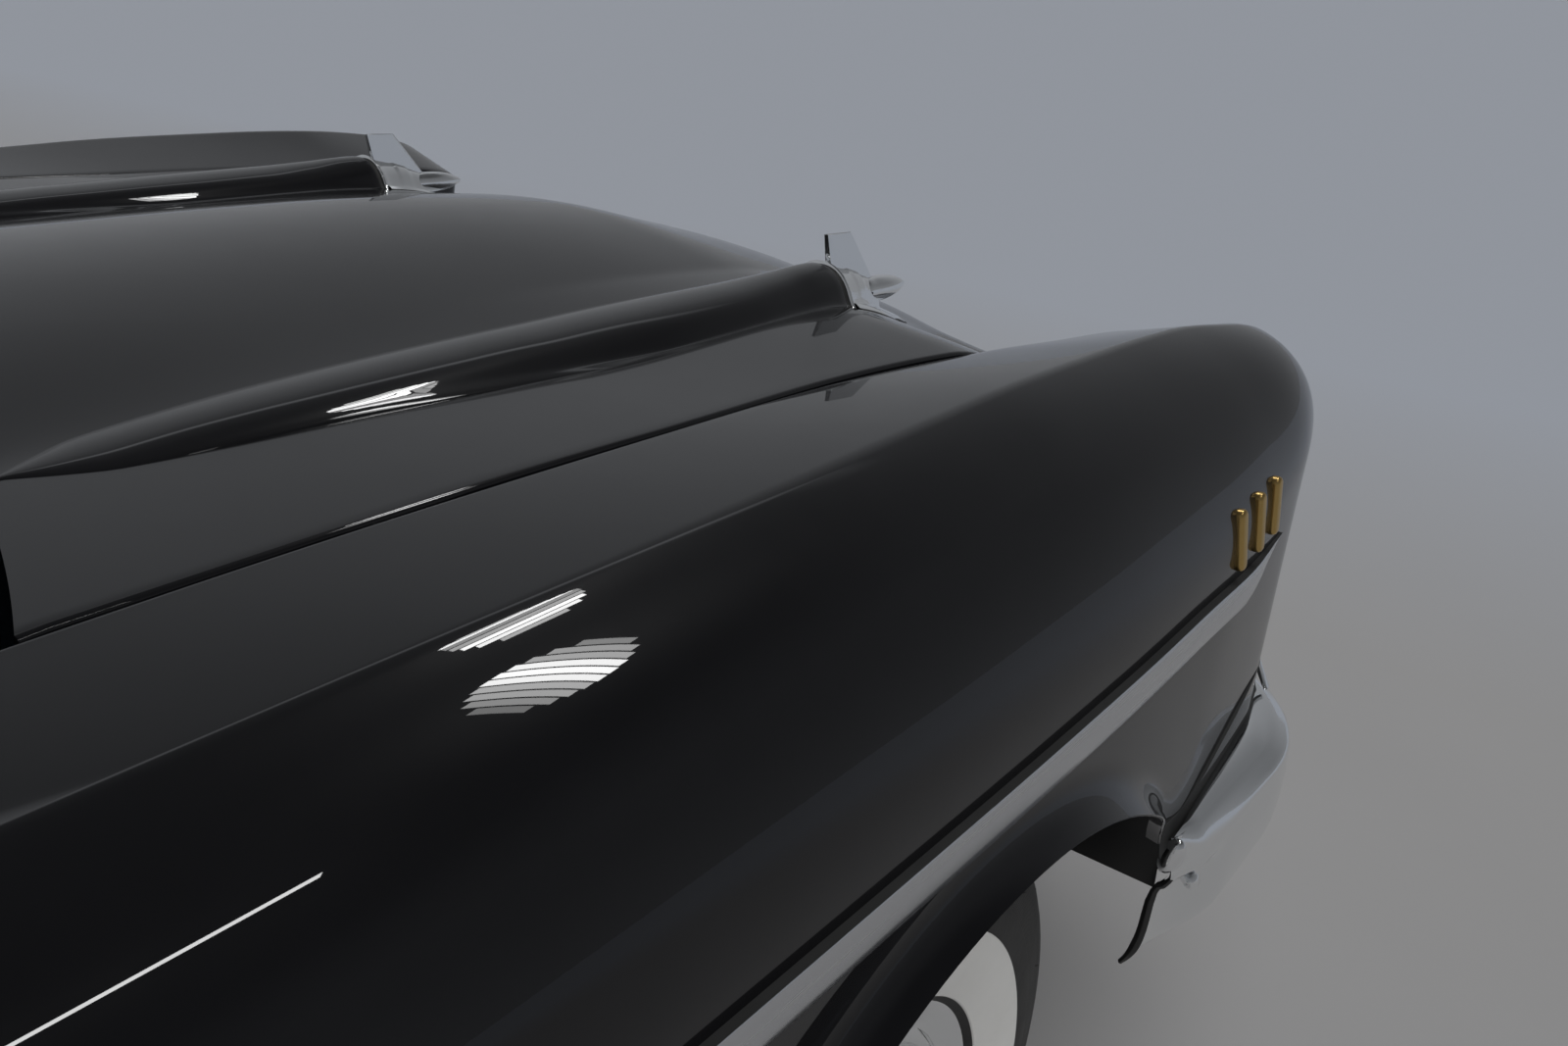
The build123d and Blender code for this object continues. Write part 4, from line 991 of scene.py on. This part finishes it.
class FRONTEND_OT_lamps(bpy.types.Operator):
    """Make the headlamps and their rings"""

    bl_idname = "frontend.lamps"
    bl_label = "Lamps"

    def execute(self, context):
        """Build glass, reflector and ring for each side."""
        axis = (0, cos(NOSE_ANGLE), sin(NOSE_ANGLE))
        lamp_y = NOSE_TOP_Y + NOSE_LEAN * (NOSE_TOP_Z - LAMP_Z)
        for side, word in SIDES:
            centre = car(side * LAMP_X, lamp_y, LAMP_Z)
            glass = turned(rounded(GLASS_FRONT, 4) + list(GLASS_BACK), centre, axis, 80)
            bowl = turned(rounded(BOWL_FRONT, 4) + list(BOWL_BACK), centre, axis, 64)
            ring = turned(rounded(LAMP_RING), centre, axis, 96)
            piece("lamp_glass_" + word, glass, "frame", "lamp_glass", ("headlamps",), 40.0)
            piece("lamp_reflector_" + word, bowl, "frame", "reflector", ("headlamps",), 40.0)
            piece("lamp_ring_" + word, ring, "frame", "chrome", ("headlamp_rings",), 60.0)
        return {"FINISHED"}


BUMPER_WALL = 5.0
BUMPER_LEAN = 0.08
# distance out, height: the bumper's foot in front, and at its tail
BUMPER_FOOT = ((-3.0, -28.0), (-12.0, -56.0), (-28.0, -76.0), (-44.0, -85.0))
BUMPER_TAIL = ((-1.5, -36.0), (-6.0, -62.0), (-13.0, -78.0), (-21.0, -90.0))
# share shut, distance back, for each of the rows that close an end
BUMPER_ENDS = ((1.0, 2.4), (0.8, 2.0), (0.4, 1.2))
# Filler strips, black as painted shade in the gap between fender and bumper.
# y, top x, top z, bottom x, bottom z
GAP_SHADE_FILLER = (
    (-420.0, 886.5, 534.0, 887.0, 494.0),
    (-474.0, 880.0, 520.0, 882.5, 496.0),
    (-530.0, 879.0, 532.0, 877.0, 497.0),
    (-590.0, 874.5, 549.0, 870.0, 498.0),
    (-660.0, 867.5, 566.0, 862.0, 498.0),
    (-734.0, 854.0, 574.0, 853.0, 499.0),
    (-796.0, 822.0, 562.0, 841.0, 499.0),
)
# distance along the axis, radius
BOLT_HEAD = ((-3.0, 0.0), (-3.0, 9.0), (2.2, 8.6), (4.2, 6.0), (5.2, 2.6), (5.4, 0.0))
GUARD = (
    (8.0, 0.0), (8.0, 47.5), (-18.0, 47.8), (-40.0, 46.0), (-60.0, 40.0), (-78.0, 29.5),
    (-89.0, 16.0), (-94.0, 0.0),
)


def bumper_path():
    """(x, y, outward x, outward y, run along the side) places along the left half of the bumper."""
    corner = BUMPER_CORNER
    centre = (BUMPER_SIDE_X - corner, BUMPER_FRONT_Y + corner)
    places = [(x, BUMPER_FRONT_Y, 0.0, -1.0, 0.0) for x in spread(0.0, centre[0], 16)]
    for turn in spread(0.0, 90.0, 25)[1:]:
        c, s = cos(radians(turn)), sin(radians(turn))
        places.append((centre[0] + corner * s, centre[1] - corner * c, s, -c, 0.0))
    for share in spread(0.0, 1.0, 28)[1:]:
        places.append((BUMPER_SIDE_X, centre[1] + (BUMPER_TAIL_Y - centre[1]) * share, 1.0, 0.0, share))
    return places


def bumper_section(run):
    """Outer and inner line of the section, as (outward, up): a shelf over a tucked-in face."""
    edge = -60.0 + 30.0 * run
    crease = -1.5 - 3.0 * run - 14.0 * ease(0.78, 1.0, run)
    face = -33.0 * ease(0.45, 1.0, run)
    high = 54.0 - 14.0 * run
    wide = crease - edge
    outer = [(edge, 60.0), (edge + 0.5, 71.0), (edge + 3.5, 77.5), (edge + 0.26 * wide, 79.5),
             (edge + 0.58 * wide, 76.0 - 3.0 * run), (edge + 0.82 * wide, 67.0 - 6.0 * run),
             (crease - 1.2, high + 5.0), (crease, high - 6.0),
             (face + 0.55 * (crease - face), high - 19.0), (face + 0.12 * (crease - face), 12.0)]
    outer += [(face + a + (c - a) * run, b + (d - b) * run)
              for (a, b), (c, d) in zip(BUMPER_FOOT, BUMPER_TAIL)]
    outer = rounded(outer)
    thick = BUMPER_WALL * (1 + ease(0.85, 1.0, run))
    inner = []
    for k, (out, up) in enumerate(outer):
        before, after = outer[max(k - 1, 0)], outer[min(k + 1, len(outer) - 1)]
        width, rise = after[0] - before[0], after[1] - before[1]
        length = sqrt(width * width + rise * rise)
        middle = (1 - ease(-10.0, 40.0, up)) * ease(-95.0, -60.0, up)
        wall = BUMPER_WALL + (thick - BUMPER_WALL) * middle
        if up >= 40.0:
            wall = min(wall, 0.4 * wide)
        inner.append((out + wall * rise / length, up - wall * width / length))
    return outer, inner


def bumper_mesh():
    """The wrapped bar, closed round its edges and at both tails."""
    left = bumper_path()
    path = [(-x, y, -nx, ny, run) for x, y, nx, ny, run in left[:0:-1]] + left
    path = [path[0]] * 3 + path + [path[-1]] * 3
    rows = []
    for k, (x, y, nx, ny, run) in enumerate(path):
        outer, inner = bumper_section(run)
        end = min(k, len(path) - 1 - k)
        shut, back = BUMPER_ENDS[end] if end < len(BUMPER_ENDS) else (0.0, 0.0)
        places = []
        for here, there in list(zip(outer, inner)) + list(zip(inner, outer))[::-1]:
            out, up = [a + (b - a) * shut / 2 for a, b in zip(here, there)]
            lean = -BUMPER_LEAN * max(up, 0.0) * ease(-560.0, BUMPER_TAIL_Y, y)
            places.append(car(x + nx * out, y + ny * out + back + lean, BUMPER_Z + up))
        rows.append(places + places[:1])
    mesh = closed(grid_mesh(rows))
    mesh.normal_update()
    # Faces that look back low on the bar take the black second finish: painted shade on the inner side of
    # the lower blade.
    for face in mesh.faces:
        painted_shade_back = face.normal.y > 0.6 and face.calc_center_median().z < 0.06
        face.material_index = 1 if painted_shade_back else 0
    return mesh


def gap_shade_filler_mesh():
    """Strip that closes the gap between the left fender and the bumper's shelf, black as painted shade in
    that gap.
    """
    rows = []
    for y in spread(GAP_SHADE_FILLER[0][0], GAP_SHADE_FILLER[-1][0], 30):
        top_x, top_z, low_x, low_z = columns_at(GAP_SHADE_FILLER, y)
        row = [car(top_x - 4.0, y, top_z + 0.5)]
        for t in spread(0.0, 1.0, 6):
            row.append(car(top_x + (low_x - top_x) * t - 2.5 * sin(pi * t), y, top_z + (low_z - top_z) * t))
        rows.append(row)
    return grid_mesh(rows)


def end_cap(side):
    """Rounded cap that closes the bumper's shelf at its tail."""
    mesh = bmesh.new()
    bmesh.ops.create_uvsphere(mesh, u_segments=24, v_segments=14, radius=0.001)
    bmesh.ops.scale(mesh, vec=(12.0, 9.0, 23.0), verts=mesh.verts)
    turn = Matrix.Rotation(radians(side * 18.0), 3, "Y")
    bmesh.ops.rotate(mesh, cent=(0, 0, 0), matrix=turn, verts=mesh.verts)
    place = car(side * 889.0, BUMPER_TAIL_Y - 4.0, BUMPER_Z + 59.0)
    bmesh.ops.translate(mesh, vec=place, verts=mesh.verts)
    return mesh


class FRONTEND_OT_bumper(bpy.types.Operator):
    """Make the front bumper with its guards"""

    bl_idname = "frontend.bumper"
    bl_label = "Bumper"

    def execute(self, context):
        """Build the wrapped bar, its bolts, end caps, fillers black as painted shade in the gap, and two
        bullet guards.
        """
        # The bar's black second finish is painted shade on the back of its lower blade.
        piece("bumper_bar", bumper_mesh(), "frame", ("chrome", "chassis_black"), ("bumper",), 50.0)
        bolts = []
        for side, word in SIDES:
            place = car(side * (BUMPER_SIDE_X - 16.0), -500.0, BUMPER_Z + 2.0)
            bolts.append(turned(BOLT_HEAD, place, (side, 0.18, 0.2), 20))
            for x in (250.0, 560.0):
                place = car(side * x, BUMPER_FRONT_Y + 0.2, BUMPER_Z)
                bolts.append(turned(BOLT_HEAD, place, (0, -1, 0), 20))
        piece("bumper_bolts", joined(bolts), "frame", "chrome")
        # The chrome end caps take the brighter reflector metal, a brighter copy of chrome: a painted
        # highlight.
        piece("bumper_caps", joined([end_cap(1), end_cap(-1)]), "frame", "reflector")
        for side, word in SIDES:
            place = car(side * GUARD_X, BUMPER_FRONT_Y, BUMPER_Z + 20.0)
            guard = turned(rounded(GUARD), place, (0, 1, 0), 64)
            piece("bumper_guard_" + word, guard, "frame", "chrome", ("bumper_guards",), 50.0)
            strip = block((7.0, 9.0, 66.0), (side * 833.0, -802.0, 534.0), side * -29.5, 2.4)
            piece("corner_strip_" + word, strip, "frame", "chrome")
            # The fillers' black is painted shade in the gap between fender and bumper.
            piece("bumper_filler_" + word, on_side(side, gap_shade_filler_mesh()), "frame", "black_rubber",
                  (), 60.0, 2.0)
            splash = block((250.0, 3.0, 100.0), (side * 748.0, -462.0, 478.0))
            piece("splash_panel_" + word, splash, "frame", "chassis_black")
        return {"FINISHED"}


# distance out from the tyre's middle, radius
TYRE_WALL = (
    (75.0, 178.4), (80.0, 180.0), (87.0, 184.6), (90.6, 189.0), (91.4, 190.4), (93.2, 191.8),
    (97.0, 207.0), (100.4, 226.0), (102.0, 241.0), (102.0, 253.0), (100.6, 255.0), (100.4, 258.0),
    (99.8, 268.0), (97.6, 280.0), (95.0, 291.0), (91.6, 303.0), (88.4, 314.0), (87.0, 321.0),
    (84.6, 328.0), (80.0, 334.5), (73.0, 338.6),
)


# distance out from the wheel's middle, radius: the cover's rim, its dish and its back
COVER_RIM = (
    (75.4, 178.0), (78.0, 183.4), (83.0, 185.8), (86.6, 184.6), (87.0, 181.0), (83.4, 172.5),
    (80.6, 165.5),
)
COVER_STEP = ((77.4, 160.0), (77.0, 156.0))
COVER_DISH = (
    (79.6, 152.0), (80.8, 148.0), (79.4, 143.4), (75.4, 138.0), (72.4, 124.0), (71.6, 108.0),
    (72.2, 96.0), (75.4, 86.0), (83.0, 76.5), (91.0, 67.0), (98.0, 50.0), (102.6, 30.0),
    (104.6, 12.0), (105.0, 0.0),
)
COVER_BACK = (
    (101.4, 0.0), (98.8, 30.0), (90.0, 60.0), (71.5, 86.0), (68.2, 100.0), (68.6, 138.0),
    (75.4, 155.0),
)
VALVE = ((79.0, 0.0), (79.0, 4.2), (92.0, 4.0), (93.0, 3.4), (101.0, 3.2), (102.0, 0.0))
VALVE_RADIUS = 165.0


def tyre_profile():
    """Closed section of the tyre: (across from its middle, radius)."""
    crown = []
    for middle in (52.0, 20.0, -20.0, -52.0):
        for across, deep in ((6.0, 0.0), (4.0, 8.0), (-4.0, 8.0), (-6.0, 0.0)):
            at = middle + across
            crown.append((at, 342.6 - 3.4 * (at / 72.0) ** 2 - deep))
    inner = [(-across, radius) for across, radius in reversed(TYRE_WALL)]
    return list(TYRE_WALL) + crown + inner


def vent_hair(k, count, hub, side):
    """One of the moulding hairs that stand round the tyre's shoulder."""
    turn = 2 * pi * k / count + 0.35 * sin(3.7 * k)
    along, radius, lean = (90.0, 307.0, 0.75) if k % 2 else (84.5, 327.0, 0.55)
    root = hub + Vector((side * along, sin(turn) * radius, cos(turn) * radius)) / 1000
    length = 3.2 + 1.6 * sin(5.1 * k)
    profile = [(-0.6, 0.0), (-0.6, 0.5), (length * 0.7, 0.42), (length, 0.15), (length, 0.0)]
    return turned(profile, root, (side * lean, 0.7 * sin(turn), 0.7 * cos(turn)), 5)


class FRONTEND_OT_wheels(bpy.types.Operator):
    """Make the tyres and wheel covers"""

    bl_idname = "frontend.wheels"
    bl_label = "Wheels"

    def execute(self, context):
        """Build tyres with white bands and vent hairs, covers and valves."""
        count = context.scene.front_end_sizes.hair_count
        front = rounded(COVER_RIM) + list(COVER_STEP) + rounded(COVER_DISH)
        for side, word in SIDES:
            hub = car(side * TRACK / 2, 0, TYRE_RADIUS)
            axis = (side, 0, 0)
            body = "wheel_" + word + "_body"
            piece("tyre_" + word + "_skin", turned(tyre_profile(), hub, axis, 120), body, "tyre_" + word,
                  ("tyre_" + word,), 28.0)
            hairs = joined([vent_hair(k, count, hub, side) for k in range(count)])
            piece("vent_hairs_" + word, hairs, body, "black_rubber")
            cover = turned(front + list(COVER_BACK), hub, axis, 120)
            piece("wheel_cover_" + word + "_skin", cover, body, "chrome",
                  ("wheel_cover_" + word,), 32.0)
            stem = turned(VALVE, hub + Vector((0, 0, VALVE_RADIUS / 1000)), axis, 16)
            piece("valve_" + word, stem, body, "black_rubber")
        return {"FINISHED"}


def softened(node, width):
    """Copy of a CAD node with its sharp edges eased, in millimetres."""
    mesh = bmesh.new()
    mesh.from_mesh(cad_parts[node].data)
    bmesh.ops.remove_doubles(mesh, verts=mesh.verts, dist=1e-5)
    bmesh.ops.dissolve_limit(mesh, angle_limit=radians(2.0), use_dissolve_boundaries=False,
                             verts=mesh.verts, edges=mesh.edges)
    edges = [edge for edge in mesh.edges if len(edge.link_faces) == 2
             and edge.link_faces[0].normal.dot(edge.link_faces[1].normal) < cos(radians(38))]
    bevelled(mesh, edges, width, 2, clamp=True)
    return mesh


# node, body, finish, slot, edge width
EASED = (
    ("frame_rail_left", "frame", "chassis_black", "chassis_black", 1.6),
    ("frame_rail_right", "frame", "chassis_black", "chassis_black", 1.6),
    ("crossmember", "frame", "chassis_black", "chassis_black", 4.0),
    ("bumper_brackets", "frame", "chassis_black", "chassis_black", 2.0),
    ("radiator_support", "frame", "chassis_black", "chassis_black", 2.0),
    ("radiator", "frame", "core_black", "radiator_black", 4.0),
    ("engine", "frame", "engine_paint", "engine_paint", 8.0),
    ("engine_mounts", "frame", "black_rubber", "rubber", 3.0),
    ("grille_surround", "frame", "chrome", "chrome", 6.0),
    ("front_valance", "frame", "gloss_black", "black_paint", 1.2),
    ("hood_hinge_arms", "hood", "chassis_black", "chassis_black", 1.0),
    ("hinge_brackets", "frame", "chassis_black", "chassis_black", 0.8),
)
CARRIED = {
    "chassis_black": ("firewall", "inner_fender_left", "inner_fender_right", "lower_arms", "upper_arms",
                      "track_rod"),
    "cast_iron": ("knuckle_left", "knuckle_right", "brake_drum_left", "brake_drum_right"),
    "spring_steel": ("coil_springs",),
    "wheel_paint": ("wheel_left", "wheel_right"),
    "grille_silver": ("grille",),
    "chrome": ("grille_bar",),
}
HEX_HEAD = ((0.0, 0.0), (0.0, 11.0), (6.5, 11.0), (8.0, 9.0), (8.0, 0.0))
HEX_SHARE = 0.6


class FRONTEND_OT_chassis(bpy.types.Operator):
    """Finish the frame, the engine bay and the running gear"""

    bl_idname = "frontend.chassis"
    bl_label = "Chassis"

    def execute(self, context):
        """Ease the edges of the plain parts, give the others their finishes and add the bolts."""
        for node, body, look, slot, width in EASED:
            piece(node + "_eased", softened(node, width), body, look, (node,), 38.0)
        for look, nodes in CARRIED.items():
            for node in nodes:
                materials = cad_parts[node].data.materials
                materials.clear()
                materials.append(finish(look))
        small = [(along, radius * HEX_SHARE) for along, radius in HEX_HEAD]
        bolts = []
        for side, word in SIDES:
            for y in (-430.0, -200.0, 60.0, 300.0, 500.0):
                bolts.append(turned(small, car(side * 540.0, y, 884.2), (0, 0, 1), 6))
            for y in (-60.0, 60.0):
                for z in (372.0, 428.0):
                    bolts.append(turned(HEX_HEAD, car(side * 372.0, y, z), (-side, 0, 0), 6))
            for x in (120.0, 300.0, 500.0):
                bolts.append(turned(small, car(side * x, SUPPORT_FRONT_Y, 856.0), (0, -1, 0), 6))
        piece("chassis_bolts", joined(bolts), "frame", "grille_silver", (), 30.0)
        return {"FINISHED"}


# Stage

CAMERA_PLACE = (-1.2638, -0.0657, 0.9348)
CAMERA_YAW = 36.56
CAMERA_PITCH = 23.73
CAMERA_ROLL = 3.28
CAMERA_LENS = 32.75
FLOOR_Z = -0.4


def camera_turn():
    """Turn of the camera from its yaw, pitch and roll."""
    yaw, pitch, roll = radians(CAMERA_YAW), radians(CAMERA_PITCH), radians(CAMERA_ROLL)
    ahead = Vector((sin(yaw) * cos(pitch), -cos(yaw) * cos(pitch), -sin(pitch)))
    right = Vector((-cos(yaw), -sin(yaw), 0))
    up = right.cross(ahead)
    across = right * cos(roll) + up * sin(roll)
    upward = up * cos(roll) - right * sin(roll)
    return Matrix((across, upward, -ahead)).transposed().to_4x4()


# name, middle, turn in degrees, length, width, strength of each tube across the width
CEILING_PANELS = (
    ("panel_middle", (0.02, -2.25, 2.8), 90.0, 0.46, 0.6, (0.35, 0.6, 1.0, 0.9, 0.2, 0.3, 0.9, 0.8, 0.35)),
    ("panel_side", (-1.08, -2.22, 2.8), 29.4, 0.82, 0.46,
     (0.2, 0.3, 0.35, 0.9, 1.0, 0.9, 0.4, 0.35, 0.25, 0.15)),
    ("tube_side", (-2.05, -0.65, 2.8), 90.0, 1.9, 0.06, (0.8,)),
)
TUBE_POWER = 80.0
TUBE_SHARE = 0.82
PANEL_OVAL = 0.96
SUN_ANGLE = 70.0
SUN_WAY = (0.62, -0.12, -1.0)
FLOOR_HALF = 40.0
# distance ahead at which the floor begins to turn blue, the length of that change, and its tint
FAR_START = 2.8
FAR_LENGTH = 2.0
FAR_TINT = (1.12, 1.2, 1.33)
SKY_TINT = (0.97, 1.0, 1.05, 1)
SKY_SEEN = 0.3
# height of the direction, grey level of the surroundings
SKY_STOPS = (
    (-1.0, 0.24), (0.30, 0.31), (0.46, 0.29), (0.56, 0.22), (0.66, 0.12), (0.78, 0.085), (1.0, 0.085),
)
# direction towards the car's left, share of that level taken away, and the share of it at each height
SIDE_STOPS = ((-0.35, 0.5), (0.35, 0.0))
SIDE_HEIGHTS = ((0.0, 0.6), (0.3, 1.0))
# height of the direction, strength of the bright strip under the ceiling
STRIP_STOPS = ((0.585, 0.0), (0.6, 0.6), (0.61, 0.6), (0.635, 0.0))
STRIP_SIDES = ((0.15, 0.0), (0.4, 1.0))


def placed(name, data, matrix=Matrix()):
    """Object of the stage, linked to the scene."""
    item = bpy.data.objects.new(name, data)
    item.matrix_world = matrix
    bpy.context.scene.collection.objects.link(item)
    return item


def lay_floor(colour):
    """Wide pale floor that turns a little blue in the distance."""
    ground = bmesh.new()
    bmesh.ops.create_grid(ground, x_segments=2, y_segments=2, size=FLOOR_HALF)
    bmesh.ops.translate(ground, vec=(0, 0, FLOOR_Z - 0.0005), verts=ground.verts)
    data = bpy.data.meshes.new("floor")
    ground.to_mesh(data)
    ground.free()
    pale = Finish("pale_floor", Roughness=0.7, Specular_IOR_Level=0.0)
    x, y, z = pale.parts(pale.place())
    far = (y * -1.0 - FAR_START) * (1 / FAR_LENGTH)
    near = pale.blend(pale.noise(1.3, 6.0, 0.6), scaled(colour, 0.97), scaled(colour, 1.04))
    pale.set("Base Color", pale.blend(far, near, scaled(colour, FAR_TINT)))
    data.materials.append(pale.material)
    placed("floor", data)


def hang_lamps(strength):
    """Soft sun without a reflection, and ceiling panels that show as reflections alone."""
    sun = bpy.data.lights.new("soft_sun", "SUN")
    sun.energy = strength
    sun.angle = radians(SUN_ANGLE)
    turn = Vector(SUN_WAY).to_track_quat("-Z", "Y").to_matrix().to_4x4()
    placed("soft_sun", sun, turn).visible_glossy = False
    for name, middle, turn, length, width, tubes in CEILING_PANELS:
        turning = Matrix.Rotation(radians(turn), 4, "Z")
        for k, share in enumerate(tubes):
            across = (k + 0.5) / len(tubes) - 0.5
            lamp = bpy.data.lights.new(name, "AREA")
            lamp.shape = "RECTANGLE"
            lamp.size = length * sqrt(1 - PANEL_OVAL * (2 * across) ** 2)
            lamp.size_y = TUBE_SHARE * width / len(tubes)
            lamp.energy = TUBE_POWER * share * lamp.size * lamp.size_y
            place = Vector(middle) + turning @ Vector((0, width * across, 0))
            tube = placed(name, lamp, Matrix.Translation(place) @ turning)
            tube.visible_camera = False
            tube.visible_diffuse = False


def paint_sky(scene):
    """Grey surroundings, darker overhead and to the car's right, with a bright strip under the ceiling."""
    scene.world = bpy.data.worlds.new("studio")
    scene.world.use_nodes = True
    sky = Nodes(scene.world.node_tree)
    x, y, z = sky.parts(sky.node("ShaderNodeTexCoord").outputs["Generated"])

    def graded(way, stops):
        """Grey level that follows one part of the direction."""
        stops = [(place * 0.5 + 0.5, (grey, grey, grey, 1)) for place, grey in stops]
        return Number(sky, sky.node("ShaderNodeValToRGB", {"stops": stops}, {0: way * 0.5 + 0.5}).outputs[0])

    level = graded(z, SKY_STOPS) * (1.0 - graded(x, SIDE_STOPS) * graded(z, SIDE_HEIGHTS))
    level = level + graded(z, STRIP_STOPS) * graded(x, STRIP_SIDES)
    camera_ray = sky.node("ShaderNodeLightPath").outputs["Is Camera Ray"]
    seen = sky.node("ShaderNodeMix", {"data_type": "FLOAT"}, {0: camera_ray, 2: level, 3: SKY_SEEN})
    back = sky.tree.nodes["Background"]
    sky.feed(back.inputs[0], SKY_TINT)
    sky.feed(back.inputs[1], seen.outputs[0])


class FRONTEND_OT_stage(bpy.types.Operator):
    """Set the floor, the lamps and the camera"""

    bl_idname = "frontend.stage"
    bl_label = "Stage"

    def execute(self, context):
        """Lay a pale floor, hang soft lamps and set the camera of the photograph."""
        looks = context.scene.front_end_looks
        lay_floor(looks.floor)
        hang_lamps(looks.sun)
        paint_sky(context.scene)
        view = bpy.data.cameras.new("camera")
        view.sensor_width = 36.0
        view.lens = CAMERA_LENS
        view.clip_start = 0.02
        context.scene.camera = placed("camera", view, Matrix.Translation(CAMERA_PLACE) @ camera_turn())
        context.scene.view_settings.view_transform = "Standard"
        return {"FINISHED"}


class FRONTEND_PT_panel(bpy.types.Panel):
    """Lists the steps that dress the front end."""

    bl_label = "Front End"
    bl_idname = "FRONTEND_PT_panel"
    bl_space_type = "VIEW_3D"
    bl_region_type = "UI"
    bl_category = "Front End"

    def draw(self, context):
        """Draw the settings and the buttons."""
        for group in (context.scene.front_end_sizes, context.scene.front_end_looks):
            for title in group.__annotations__:
                self.layout.prop(group, title)
        for step in STEPS:
            self.layout.operator(step.bl_idname)


STEPS = (FRONTEND_OT_fenders, FRONTEND_OT_hood, FRONTEND_OT_cowl, FRONTEND_OT_ornaments, FRONTEND_OT_trim,
         FRONTEND_OT_lamps, FRONTEND_OT_bumper, FRONTEND_OT_wheels, FRONTEND_OT_chassis, FRONTEND_OT_stage)
CLASSES = (FrontEndSizes, FrontEndLooks) + STEPS + (FRONTEND_PT_panel,)


def register():
    """Register the classes and their settings."""
    for item in CLASSES:
        bpy.utils.register_class(item)
    bpy.types.Scene.front_end_sizes = PointerProperty(type=FrontEndSizes)
    bpy.types.Scene.front_end_looks = PointerProperty(type=FrontEndLooks)


def unregister():
    """Remove the classes and their settings."""
    del bpy.types.Scene.front_end_looks
    del bpy.types.Scene.front_end_sizes
    for item in reversed(CLASSES):
        bpy.utils.unregister_class(item)


def main():
    """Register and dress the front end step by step."""
    register()
    bpy.ops.frontend.fenders()
    bpy.ops.frontend.hood()
    bpy.ops.frontend.cowl()
    bpy.ops.frontend.ornaments()
    bpy.ops.frontend.trim()
    bpy.ops.frontend.lamps()
    bpy.ops.frontend.bumper()
    bpy.ops.frontend.wheels()
    bpy.ops.frontend.chassis()
    bpy.ops.frontend.stage()


if __name__ == "__main__":
    main()
